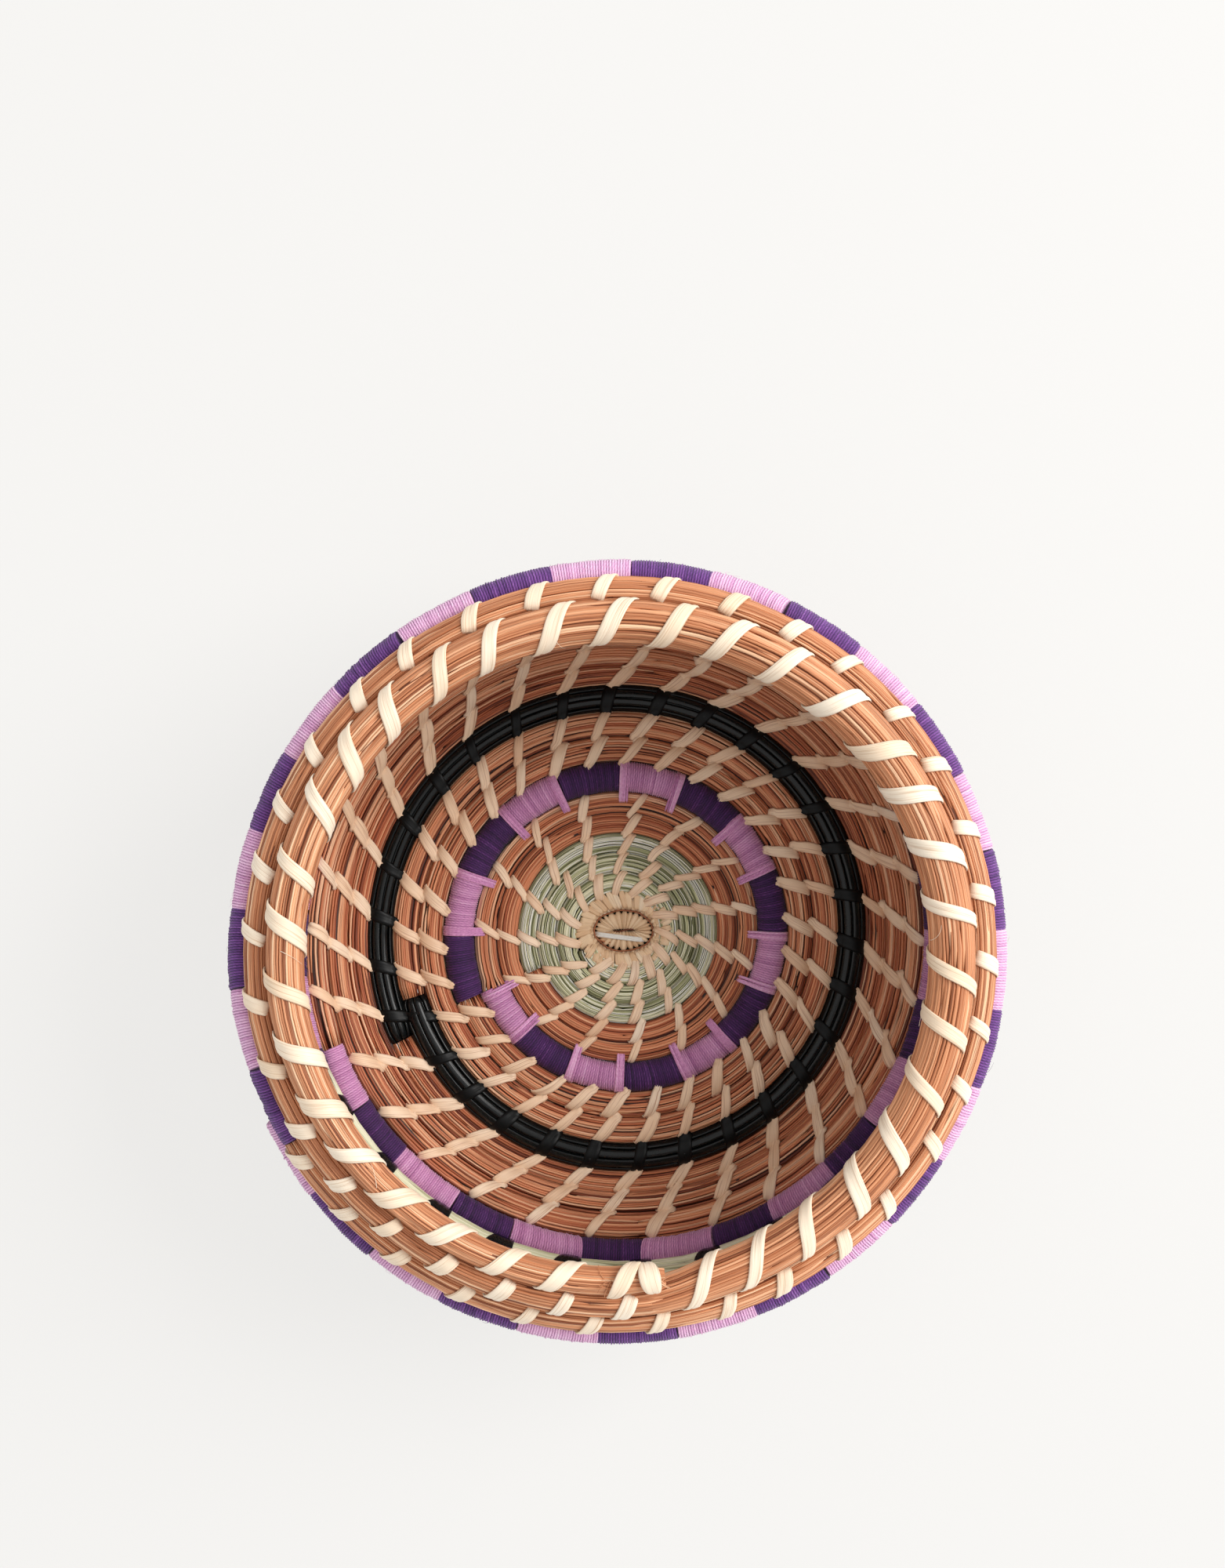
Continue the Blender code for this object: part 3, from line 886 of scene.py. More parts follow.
@dataclass(frozen=True)
class WoundRow:
    """A row wound all over with thread, in segments of two colours by turns."""

    name: str
    node: str
    first: float
    last: float
    segments: float
    slots: Tuple[str, str] = ("lilac_thread", "purple_thread")
    finishes: Tuple[Finishes, Finishes] = (Finishes.LILAC, Finishes.PURPLE)
    phase: float = 0.0
    first_colour_share: float = 0.5
    thread: float = 0.62 * MM
    groove: float = 0.24 * MM
    # Tone taken off at each groove between winds: painted shade.
    groove_painted_shade: float = 0.5
    sides: int = 16
    tabs: bool = False
    tab_threads: int = 5
    tab_spacing: float = 0.46 * MM
    tab_reach: float = math.radians(84.0)
    seed: int = 5

    def _wind(self, gather: Gather, draw: np.random.Generator, start: float, end: float) -> None:
        """Wind one segment."""
        length = (end - start) * math.tau * float(COIL.middle(np.array([start]))[0][0])
        winds = max(3, round(length / self.thread))
        edges = start + (end - start) * np.arange(winds + 1) / winds
        around = -np.arange(self.sides) / self.sides * math.tau
        turns, lifts, tones = [], [], []
        for wind in range(winds):
            swell = draw.normal(0.0, 0.06 * MM)
            tone = float(np.clip(draw.normal(0.62, 0.13), 0.1, 1))
            # Each wind's groove ring is darker in tone than its top: painted shade between the winds.
            for place, height, shade in ((0.0, -self.groove, self.groove_painted_shade), (0.3, swell, 0.0), (0.7, swell, 0.0)):
                turns.append(edges[wind] + (edges[wind + 1] - edges[wind]) * place)
                lifts.append(height)
                tones.append(tone - shade)
        turns.append(edges[-1])
        lifts.append(-self.groove)
        tones.append(tones[-1] - self.groove_painted_shade)
        turns, lifts, tones = np.array(turns), np.array(lifts), np.array(tones)
        rounding = np.minimum(turns - start, end - turns) / (edges[1] - edges[0])
        lifts = lifts - 0.22 * MM * np.clip(1 - rounding, 0, 1)
        slack = wander(draw, turns * 0.5, 6 * MM, 0.10 * MM)
        slant = draw.normal(0.0, 0.45 * MM) + wander(draw, turns * 0.5, 8 * MM, 0.3 * MM)
        skew = COIL.turns_for(slant, turns)[:, None] * np.sin(around)[None, :]
        points, _ = COIL.place(turns[:, None] + skew, around[None, :], (lifts + slack)[:, None])
        girth = float(COIL.thickness(np.array([start]))[0]) / 2
        along = np.broadcast_to(-around * girth, points.shape[:2])
        across = np.broadcast_to((turns / (edges[1] - edges[0]) * self.thread)[:, None], points.shape[:2])
        tone = np.broadcast_to(tones[:, None], points.shape[:2])
        gather.add(points, np.stack([along, across, tone], -1))

    def _tab(self, gather: Gather, draw: np.random.Generator, turn: float, lean: float) -> None:
        """Lay the few threads that tie a segment's end to the row inside it."""
        steps = np.linspace(0, 1, 12)
        for number in range(self.tab_threads):
            beside = (number - (self.tab_threads - 1) / 2) * self.tab_spacing
            at = turn + float(COIL.turns_for(beside, np.array([turn]))[0])
            spread = draw.normal(0, 0.16 * MM) * (1 - steps)
            here = at + COIL.turns_for(lean * (1 - steps) + spread, np.full(12, at))
            path, normals = tie_path(here, steps, Face.INSIDE, self.tab_reach, 0.16 * MM)
            tone = float(np.clip(draw.normal(0.62, 0.2), 0.2, 1))
            gather.sweep(path, normals, self.thread / 2, self.thread / 2, ROUND_SHAPE, tone)

    def build(self) -> None:
        """Wind all segments and make the two pieces."""
        draw = np.random.default_rng(self.seed)
        gathers = (Gather(), Gather())
        step = (self.last - self.first) / self.segments
        count = math.ceil(self.segments)
        wider = (2 * self.first_colour_share - 1) * step
        for number in range(count):
            start = max(self.first, self.first + self.phase + number * step + wider * (number % 2))
            end = min(self.first + self.phase + (number + 1) * step + wider * ((number + 1) % 2), self.last)
            gather = gathers[number % 2]
            self._wind(gather, draw, start, end)
            if self.tabs and number % 2 == 0:
                room = float(COIL.turns_for(1.2 * MM, np.array([start]))[0])
                self._tab(gather, draw, start + room, -0.5 * MM)
                self._tab(gather, draw, end - room, 0.5 * MM)
        for gather, finish, slot in zip(gathers, self.finishes, self.slots):
            gather.build(f"{self.name}_{slot}", finish, slot, (self.node,))


def tie_path(turns: Array, steps: Array, face: Face, reach: float, lift: float) -> Tuple[Array, Array]:
    """Path of a strand that binds a row to the one before it.

    It rises from the last row's surface, crosses the groove, lies over its own row
    and dives at that row's far side.

    Args:
        turns: turn number at each step.
        steps: shares of the way, from 0 to 1.
        face: the face that it lies on.
        reach: how far round the last row it begins, as an angle from where the rows meet.
        lift: its height above the row.

    Returns:
        The points and the way up at each.
    """
    side = face.value
    into, out = COIL.leans_of(turns)
    own_from, own_to = into + math.pi - side * math.radians(42), out + side * math.radians(24)
    if face is Face.OUTSIDE:
        own_to = out + math.tau - math.radians(24)
    last_share, own_share = 0.24 + 0.12 * max(0.0, reach - 1.0), 0.92
    own = np.clip((steps - last_share) / (own_share - last_share), 0, 1)
    angles = own_from + (own_to - own_from) * own
    own_points, own_normals = COIL.place(turns, angles, lift)
    last_angles = into + side * reach
    last_points, last_normals = COIL.place(turns - 1, last_angles, lift)
    blend = np.clip(steps / max(last_share, 1e-6), 0, 1)[:, None]
    points = last_points + (own_points - last_points) * blend
    normals = unit(last_normals + (own_normals - last_normals) * blend)
    dive = np.zeros(len(steps))
    dive[0], dive[-1] = -0.55 * MM, -0.9 * MM
    return points + normals * dive[:, None], normals


@dataclass(frozen=True)
class StitchRun:
    """Raffia stitches of one run of the coil, on both faces."""

    name: str
    stitching: Stitching
    width: float = 2.2 * MM
    height: float = 0.45 * MM
    reach: float = math.radians(46.0)
    finish: Finishes = Finishes.RAFFIA
    slot: str = "raffia"
    tone: float = 0.55
    steps: int = 11
    seed: int = 11

    def build(self) -> None:
        """Sew both faces."""
        draw = np.random.default_rng(self.seed)
        for face in Face:
            gather = Gather()
            for middle in self.stitching.turns:
                self._sew(gather, draw, float(middle), face)
            gather.build(f"{self.name}_{face.name.lower()}", self.finish, self.slot)

    def _sew(self, gather: Gather, draw: np.random.Generator, middle: float, face: Face) -> None:
        """Sew one stitch."""
        steps = np.linspace(0, 1, self.steps)
        reach = self.stitching.length_round * draw.uniform(0.85, 1.15)
        shift = draw.normal(0, 0.25 * MM)
        lean = face.value * reach * (0.5 - steps) + shift
        bend = 0.35 * MM * draw.normal() * np.sin(steps * math.pi)
        turns = middle + COIL.turns_for(lean + bend, np.full(self.steps, middle))
        path, normals = tie_path(turns, steps, face, self.reach, 0.16 * MM)
        belly = 0.66 + 0.34 * np.sin(np.clip(steps * 0.97 + 0.03, 0, 1) * math.pi) ** 0.6
        width = self.width / 2 * belly * draw.uniform(0.82, 1.15)
        height = self.height * (0.7 + 0.3 * belly)
        tone = float(np.clip(draw.normal(self.tone, 0.16), 0, 1))
        gather.sweep(path, normals, width, height, RAFFIA_SHAPE, tone, draw.uniform(0, 3))


@dataclass(frozen=True)
class StripRow:
    """The row faced with flat black strips laid lengthwise."""

    node: str = "black_strip_coil"
    slot: str = "black_strips"
    first: float = 7.983
    last: float = 9.008
    inside: int = 4
    outside: int = 6
    rings: int = 120
    end_steps: Tuple[float, ...] = (0.2, 0.7, 1.5, 2.4)
    end_length: float = 2.6 * MM
    seed: int = 17

    def _turns(self) -> Array:
        """Turn numbers of the rings, closer together at both ends."""
        near = COIL.turns_for(np.array(self.end_steps) * MM, np.full(len(self.end_steps), self.last))
        even = np.linspace(self.first, self.last, self.rings)
        return np.sort(np.concatenate([even, self.first + near, self.last - near]))

    def _fullness(self, turns: Array) -> Array:
        """How full the row is at each turn number: it is rounded at both ends."""
        ends = np.minimum(turns - self.first, self.last - turns) / COIL.turns_for(self.end_length, turns)
        return 0.45 + 0.55 * np.sqrt(1 - (1 - np.clip(ends, 0, 1)) ** 2)

    def build(self) -> None:
        """Lay the strips and their core."""
        draw = np.random.default_rng(self.seed)
        gather = Gather()
        turns = self._turns()
        full = self._fullness(turns)
        into, out = COIL.leans_of(turns)
        clear = math.radians(12)
        arcs = (
            (into + math.pi - clear, out + clear, self.inside),
            (into + math.pi + clear, out + math.tau - clear, self.outside),
        )
        places = (turns - self.first) / COIL.turns_for(1.0, turns)
        for start, end, count in arcs:
            for number in range(count):
                angles = start + (end - start) * (number + 0.5) / count
                angles = angles + wander(draw, places, 25 * MM, 0.04)
                lift = wander(draw, places, 14 * MM, 0.08 * MM) - 0.1 * MM
                path, normals = COIL.place(turns, angles, lift, full)
                half = np.abs(end - start) / count * COIL.section(turns, angles) / 2 * 0.97 * full
                tone = float(draw.uniform(0.2, 0.8))
                gather.sweep(path, normals, half, 0.45 * MM, RIBBON_SHAPE, tone, draw.uniform(0, 3))
        around = -np.arange(14) / 14 * math.tau
        points, _ = COIL.place(turns[:, None], around[None, :], -0.3 * MM, full[:, None])
        gather.add(points, np.zeros_like(points))
        gather.build("black_strips", Finishes.BLACK, self.slot, (self.node,))


@dataclass(frozen=True)
class MarkRow:
    """Black wraps round the pale rows: a mark at every change of colour below."""

    first: float = 12.994
    marks_per_turn: float = 29.03
    counts: Tuple[int, ...] = (5, 5, 6, 6, 5, 4)
    width: float = 1.9 * MM
    height: float = 0.3 * MM
    fan: float = 0.9 * MM
    sides: int = 13
    seed: int = 23

    def build(self) -> None:
        """Wrap every mark."""
        draw = np.random.default_rng(self.seed)
        gather = Gather()
        for row, count in enumerate(self.counts):
            for mark in range(math.floor(self.marks_per_turn)):
                middle = self.first + row + (mark + 0.95) / self.marks_per_turn
                for number in range(count):
                    self._wrap(gather, draw, middle, number - count + 1)
        gather.build("black_marks_of_pale_rows", Finishes.BLACK, "black_strips")

    def _wrap(self, gather: Gather, draw: np.random.Generator, middle: float, place: int) -> None:
        """Lay one wrap right round the row, more slanted the further it is from the mark's edge."""
        around = np.linspace(0, 1, self.sides) * math.tau
        into = float(COIL.leans_of(np.array([middle]))[0][0])
        angles = into + math.pi - around
        outward = 0.5 - 0.5 * np.cos(around)
        slant = place * (0.45 * self.width + self.fan * outward)
        turns = middle + COIL.turns_for(slant, np.full(self.sides, middle))
        lift = 0.15 * MM + draw.normal(0, 0.05 * MM)
        path, normals = COIL.place(turns, angles, lift)
        tone = float(draw.uniform(0.1, 0.8))
        gather.sweep(path, normals, self.width / 2, self.height, RIBBON_SHAPE, tone, draw.uniform(0, 3))


@dataclass(frozen=True)
class Medallion:
    """The wrapped oval start: an inner curl, the loop round it and the white thread."""

    crevice: Tuple[float, float] = (2.9 * MM, 0.15 * MM)
    seam: Tuple[float, float] = (8.0 * MM, 5.5 * MM)
    middle: Tuple[float, float] = (0.4 * MM, 0.6 * MM)
    inner_wraps: int = 26
    outer_wraps: int = 38
    height: float = 3.3 * MM
    groove: float = 0.26 * MM
    pit: float = 0.75 * MM
    sides: int = 16
    seam_width: float = 0.42 * MM
    seam_tone: float = 0.3
    seam_steps: int = 90
    seam_turns: float = 1.12
    thread_ends: Tuple[Tuple[float, float], ...] = ((-7.3 * MM, -0.3 * MM), (5.9 * MM, -1.9 * MM))
    reach: Tuple[float, float] = (13.0 * MM, 11.2 * MM)
    reach_wraps: int = 42
    reach_width: float = 1.8 * MM
    reach_height: float = 0.3 * MM
    reach_lean: float = math.radians(7.0)
    seed: int = 31

    def _oval(self, sizes: Tuple[float, float], angles: Array) -> Array:
        """Points of an oval."""
        return np.stack(
            [self.middle[0] + sizes[0] * np.cos(angles), self.middle[1] + sizes[1] * np.sin(angles)], -1
        )

    @staticmethod
    def _outer(angles: Array) -> Array:
        """Outer edge of the loop: where the first grass row begins."""
        start = math.radians(COIL.start_degrees)
        turns = np.mod(angles - start, math.tau) / math.tau
        near = COIL.middle(turns)[0] - COIL.section(turns, np.full(len(turns), math.pi))
        smooth = np.cos((turns - 0.5) * math.pi) ** 0.3
        reach = near * smooth + float(np.mean(near)) * (1 - smooth)
        return np.stack([reach * np.cos(angles), reach * np.sin(angles)], -1)

    def _band(
        self, gather: Gather, draw: np.random.Generator, inner: Array, outer: Array, wraps: int, high: float
    ) -> None:
        """Wrap a bundle that lies between two ovals, as one tube with a groove at every wrap, darkened there with
        painted shade.

        Args:
            gather: where the tube goes.
            draw: where random numbers come from.
            inner: the inner oval, three points for each wrap and one to close it.
            outer: the outer oval, likewise.
            wraps: how many wraps it has.
            high: how high the bundle stands.
        """
        around = np.arange(self.sides) / self.sides * math.tau
        rings, notes = [], []
        tones = np.clip(draw.normal(0.55, 0.2, wraps), 0.1, 1)
        swells = draw.normal(0, 0.08 * MM, wraps)
        for ring in range(3 * wraps + 1):
            wrap, part = min(ring // 3, wraps - 1), ring % 3
            sunk = self.groove if part == 0 else -swells[wrap]
            middle, half = (inner[ring] + outer[ring]) / 2, (outer[ring] - inner[ring]) / 2
            size = float(np.linalg.norm(half))
            deep = sunk + (self.pit * np.clip(-np.cos(around), 0, 1) ** 3 if part == 0 else 0.0)
            flat = middle - half / size * (np.cos(around) * (size - deep))[:, None]
            tall = np.maximum(high / 2 + np.sin(around) * (high / 2 - sunk), 0.05 * MM)
            rings.append(np.column_stack([flat, tall]))
            # Each wrap's groove ring is 0.45 darker in tone: painted shade between the wraps.
            shade = 0.45 if part == 0 else 0.0
            across = np.full(self.sides, ring * 0.6 * MM)
            notes.append(np.column_stack([around * size, across, np.full(self.sides, tones[wrap] - shade)]))
        gather.add(np.array(rings), np.array(notes))

    def _angles(self, draw: np.random.Generator, wraps: int) -> Array:
        """Where each wrap's groove and swell lie round the oval, a little uneven."""
        edges = np.arange(wraps + 1) / wraps * math.tau
        edges[1:-1] += draw.uniform(-0.16, 0.16, wraps - 1) * math.tau / wraps
        parts = [edges[:-1], edges[:-1] * 0.7 + edges[1:] * 0.3, edges[:-1] * 0.3 + edges[1:] * 0.7]
        return np.append(np.stack(parts, -1).ravel(), edges[-1])

    def _reach_out(self, gather: Gather, draw: np.random.Generator) -> None:
        """Lay the wraps' outer ends, which climb over the first grass row and bind it."""
        steps = np.linspace(0, 1, 8)
        start = math.radians(COIL.start_degrees)
        for number in range(self.reach_wraps):
            angle = (number + draw.uniform(-0.22, 0.22)) / self.reach_wraps * math.tau
            inner = self._oval(self.seam, np.array([angle]))[0] * 1.12
            outer = self._oval(self.reach, np.array([angle + self.reach_lean]))[0] * draw.uniform(0.94, 1.05)
            flat = inner + (outer - inner) * steps[:, None]
            radius = np.linalg.norm(flat, axis=1)
            turns = np.mod(np.arctan2(flat[:, 1], flat[:, 0]) - start, math.tau) / math.tau
            middle = COIL.middle(turns)[0]
            half = COIL.thickness(turns) / 2 + 0.3 * MM
            row = half + np.sqrt(np.maximum(half**2 - (radius - middle) ** 2, 0))
            tall = np.maximum(row, self.height * 1.08) + 0.12 * MM
            tall[0], tall[-1] = self.height * 0.9, tall[-1] - 0.9 * MM
            path = np.column_stack([flat, tall])
            up = unit(np.column_stack([np.zeros(8), np.zeros(8), np.ones(8)]))
            width = self.reach_width / 2 * (0.62 + 0.38 * np.sin(np.clip(steps, 0, 1) * math.pi) ** 0.6)
            tone = float(np.clip(draw.normal(0.5, 0.2), 0, 1))
            gather.sweep(path, up, width, self.reach_height, RAFFIA_SHAPE, tone, draw.uniform(0, 3))

    def _seam(self, draw: np.random.Generator) -> None:
        """Lay the dark line that spirals between the curl and the loop."""
        gather = Gather()
        steps = np.linspace(0, self.seam_turns, self.seam_steps)
        shrink = 1 - 0.35 * np.clip(steps - 1, 0, 1) / (self.seam_turns - 1)
        places = np.arange(self.seam_steps) * 0.5 * MM
        ripple = 1 + wander(draw, places, 1.6 * MM, 0.022)
        angles = math.pi * 1.12 + steps * math.tau
        flat = self._oval(self.seam, angles)
        centre = np.array(self.middle)
        flat = centre + (flat - centre) * (shrink * ripple)[:, None]
        path = np.column_stack([flat, np.full(self.seam_steps, self.height * 0.80)])
        up = np.tile([0.0, 0.0, 1.0], (self.seam_steps, 1))
        gather.sweep(path, up, self.seam_width / 2, self.seam_width / 2, ROUND_SHAPE, self.seam_tone)
        crevice = np.linspace(-1, 1, 18)
        flat = centre + np.stack([crevice * 2.7 * MM, 0.35 * MM * np.sin(crevice * 2.4)], -1)
        path = np.column_stack([flat, np.full(18, self.height * 0.66)])
        gather.sweep(path, up[:18], self.seam_width * 0.6, self.seam_width * 0.6, ROUND_SHAPE, 0.12)
        gather.build("start_seam", Finishes.NEEDLES, "brown_needles")

    def build(self) -> None:
        """Wrap both loops and lay the seam and the thread."""
        draw = np.random.default_rng(self.seed)
        pad, ring = Gather(), Gather()
        angles = self._angles(draw, self.inner_wraps)
        inner, outer = self._oval(self.crevice, angles), self._oval(self.seam, angles)
        self._band(pad, draw, inner, outer, self.inner_wraps, self.height * 0.95)
        angles = self._angles(draw, self.outer_wraps)
        inner, outer = self._oval(self.seam, angles), self._outer(angles)
        outer[-1] = outer[0]
        self._band(ring, draw, inner, outer, self.outer_wraps, self.height * 1.08)
        self._reach_out(ring, np.random.default_rng(self.seed + 1))
        pad.build("raffia_start_curl", Finishes.START_RAFFIA, "raffia", ("raffia_start_pad",))
        ring.build("raffia_start_loop", Finishes.START_RAFFIA, "raffia", ("raffia_start_ring",))
        self._seam(draw)
        tie = Gather()
        steps = np.linspace(0, 1, 14)
        ends = np.array(self.thread_ends)
        flat = ends[0] + (ends[1] - ends[0]) * steps[:, None]
        tall = self.height + 0.45 * MM - 2.6 * MM * np.abs(steps - 0.5) ** 6 * 40
        path = np.column_stack([flat, tall])
        up = np.tile([0.0, 0.0, 1.0], (14, 1))
        for side in (-1, 1):
            beside = path + np.array([0.0, side * 0.3 * MM, 0.0])
            tie.sweep(beside, up, 0.38 * MM, 0.36 * MM, ROUND_SHAPE, 0.7)
        tie.build("white_start_thread", Finishes.WHITE, "white_thread", ("start_thread_tie",))


@dataclass(frozen=True)
class RimBinding:
    """The leaning stitches round the mouth, one piece each, and the knot."""

    stitches: int = 33
    first: float = 10.5 / FULL_TURN
    last: float = 345.0 / FULL_TURN
    lean: float = 7.5 / FULL_TURN
    width: float = 3.9 * MM
    height: float = 0.35 * MM
    arc: Tuple[float, float] = (232.0, -12.0)
    steps: int = 18
    seed: int = 37

    def _strand(
        self, draw: np.random.Generator, turns: Array, angles: Array, width: Array, names: Tuple[str, str], lift: Value
    ) -> None:
        """Lay one strand over the rim, as a piece of its own that stands for its solid."""
        path, normals = COIL.place(turns, angles, lift)
        gather = Gather()
        tone = float(np.clip(draw.normal(0.66, 0.16), 0, 1))
        gather.sweep(path, normals, width / 2, self.height, RAFFIA_SHAPE, tone, draw.uniform(0, 3))
        gather.build(names[0], Finishes.RAFFIA, "raffia", (names[1],))

    def build(self) -> None:
        """Lay all stitches and the knot's two ends."""
        draw = np.random.default_rng(self.seed)
        steps = np.linspace(0, 1, self.steps)
        angles = np.radians(np.linspace(*self.arc, self.steps))
        pitch = (self.last - self.first) / (self.stitches - 1)
        for number in range(self.stitches):
            inside = COIL.rim_start + self.first + number * pitch
            bow = 0.35 / FULL_TURN * draw.normal() * np.sin(steps * math.pi)
            lean = self.lean * draw.uniform(0.85, 1.2)
            turns = inside - lean * steps + bow
            shape = 0.78 + 0.22 * np.sin(steps * math.pi) ** 0.45
            width = self.width * shape * draw.uniform(0.8, 1.14)
            tag = f"{number + 1:02d}"
            self._strand(draw, turns, angles, width, (f"rim_raffia_{tag}", f"rim_stitch_{tag}"), 0.2 * MM)
        self._knot(draw)

    def _knot(self, draw: np.random.Generator) -> None:
        """Lay the knot's two leaf-shaped ends, which part from one spot at the mouth's edge."""
        steps = np.linspace(0, 1, self.steps)
        angles = np.radians(196.0 - 176.0 * steps)
        lift = (0.5 + 0.7 * np.sin(steps * math.pi)) * MM
        leaf = 0.3 + 0.7 * np.sin(np.clip(steps * 0.95 + 0.03, 0, 1) * math.pi) ** 0.8
        for side, (start, end), wide in (("left", (-4.6, -9.9), 4.0 * MM), ("right", (-3.4, -2.0), 5.0 * MM)):
            turns = COIL.end + (start + (end - start) * steps) / FULL_TURN
            self._strand(draw, turns, angles, wide * leaf, (f"knot_raffia_{side}", f"knot_end_{side}"), lift)


@dataclass(frozen=True)
class ShoulderStitches:
    """The short stitches on the shoulder rows below the rim."""

    first: float = 20.02
    last: float = 21.2
    width: float = 3.6 * MM
    height: float = 0.35 * MM
    lean: float = 3.0 / FULL_TURN
    behind_rim: float = 1.0 / FULL_TURN
    steps: int = 12
    seed: int = 41

    def build(self) -> None:
        """Sew them all."""
        draw = np.random.default_rng(self.seed)
        gather = Gather()
        rim = RimBinding()
        pitch = (rim.last - rim.first) / (rim.stitches - 1)
        chain = COIL.rim_start + rim.first - 1 - self.behind_rim
        low = math.ceil((self.first - chain) / pitch)
        high = math.floor((self.last - chain) / pitch)
        steps = np.linspace(0, 1, self.steps)
        for number in range(low, high + 1):
            start = chain + number * pitch + draw.normal(0, 0.4 / FULL_TURN)
            turns = start - self.lean * steps
            into, out = COIL.leans_of(turns)
            angles = out - math.radians(24) - (math.pi - math.radians(46) + (out - into)) * steps
            dive = np.zeros(self.steps)
            dive[0] = dive[-1] = -0.8 * MM
            path, normals = COIL.place(turns, angles, 0.2 * MM + dive)
            shape = 0.85 + 0.15 * np.sin(steps * math.pi) ** 0.5
            width = self.width / 2 * shape * draw.uniform(0.85, 1.1)
            tone = float(np.clip(draw.normal(0.66, 0.16), 0, 1))
            gather.sweep(path, normals, width, self.height, RAFFIA_SHAPE, tone, draw.uniform(0, 3))
        gather.build("raffia_shoulder_stitches", Finishes.RAFFIA, "raffia")


@dataclass(frozen=True)
class Fluff:
    """Loose ends: fuzz on the wound rows, a raffia hair, the knot's frayed ends."""

    fuzz_a_turn: int = 130
    fuzz_length: float = 2.4 * MM
    fuzz_width: float = 0.07 * MM
    frays: int = 14
    seed: int = 71

    def _curl(
        self,
        gather: Gather,
        draw: np.random.Generator,
        turn: float,
        angle: float,
        length: float,
        width: float,
        curl: float,
        heading: Optional[float] = None,
    ) -> None:
        """Lay one short curling fibre on the surface.

        Args:
            gather: where it goes.
            draw: where random numbers come from.
            turn: turn number where it begins.
            angle: direction in the section where it begins.
            length: its length in metres.
            width: its thickness in metres.
            curl: how far it bends, in radians.
            heading: its direction on the surface, or none for any.
        """
        steps = np.linspace(0, 1, 8)
        first = draw.uniform(0, math.tau) if heading is None else heading
        way = first + curl * draw.normal() * steps
        along, round_it = np.cumsum(np.cos(way)) / 8 * length, np.cumsum(np.sin(way)) / 8 * length
        turns = turn + COIL.turns_for(along, np.full(8, turn))
        half = float(COIL.thickness(np.array([turn]))[0]) / 2
        rise = (0.12 + draw.uniform(0.2, 1.0) * steps * (1 - 0.4 * steps)) * min(length, 3 * MM) * 0.35
        path, normals = COIL.place(turns, angle + round_it / half, rise)
        taper = 1 - 0.6 * steps
        gather.sweep(path, normals, width / 2 * taper, width / 2 * taper, FINE_SHAPE, draw.uniform(0.5, 1.0))

    def _fuzz(self, name: str, slot: str, finish: Finishes, rows: Sequence[Tuple[float, float]], phase: int) -> None:
        """Scatter fuzz over the segments of one colour in several wound rows."""
        draw = np.random.default_rng(self.seed + phase)
        gather = Gather()
        for first, segments in rows:
            for _ in range(self.fuzz_a_turn):
                segment = 2 * draw.integers(0, int(segments) // 2) + phase
                turn = first + (segment + draw.uniform(0.05, 0.95)) / segments
                angle = draw.uniform(0, math.tau)
                length = self.fuzz_length * draw.uniform(0.4, 1.3)
                self._curl(gather, draw, float(turn), angle, length, self.fuzz_width, 2.2)
        gather.build(name, finish, slot)

    def build(self) -> None:
        """Scatter them all."""
        rows = ((5.0, 16.0), (11.994, 29.0), (19.008, 29.7))
        self._fuzz("lilac_fuzz", "lilac_thread", Finishes.LILAC, rows, 0)
        self._fuzz("purple_fuzz", "purple_thread", Finishes.PURPLE, rows, 1)
        draw = np.random.default_rng(self.seed + 2)
        hair = Gather()
        for _ in range(5):
            turn = float(np.floor(COIL.rim_start) + draw.uniform(0.3, 1.15))
            self._curl(hair, draw, turn, math.radians(draw.uniform(60, 200)), 7 * MM, 0.16 * MM, 1.4)
        hair.build("raffia_hairs", Finishes.RAFFIA, "raffia")
        frays = Gather()
        for number in range(self.frays):
            side = -1 if number % 2 else 1
            spot = -9.6 if side < 0 else -1.4
            turn = COIL.end + (spot + draw.uniform(-1.0, 1.0)) / FULL_TURN
            angle = math.radians(draw.uniform(70, 105))
            heading = math.pi if side < 0 else 0.0
            length = draw.uniform(2.0, 4.5) * MM
            self._curl(frays, draw, turn, angle, length, 0.3 * MM, 1.0, heading + draw.normal(0, 0.8))
        frays.build("frayed_needle_ends", Finishes.NEEDLES, "brown_needles")


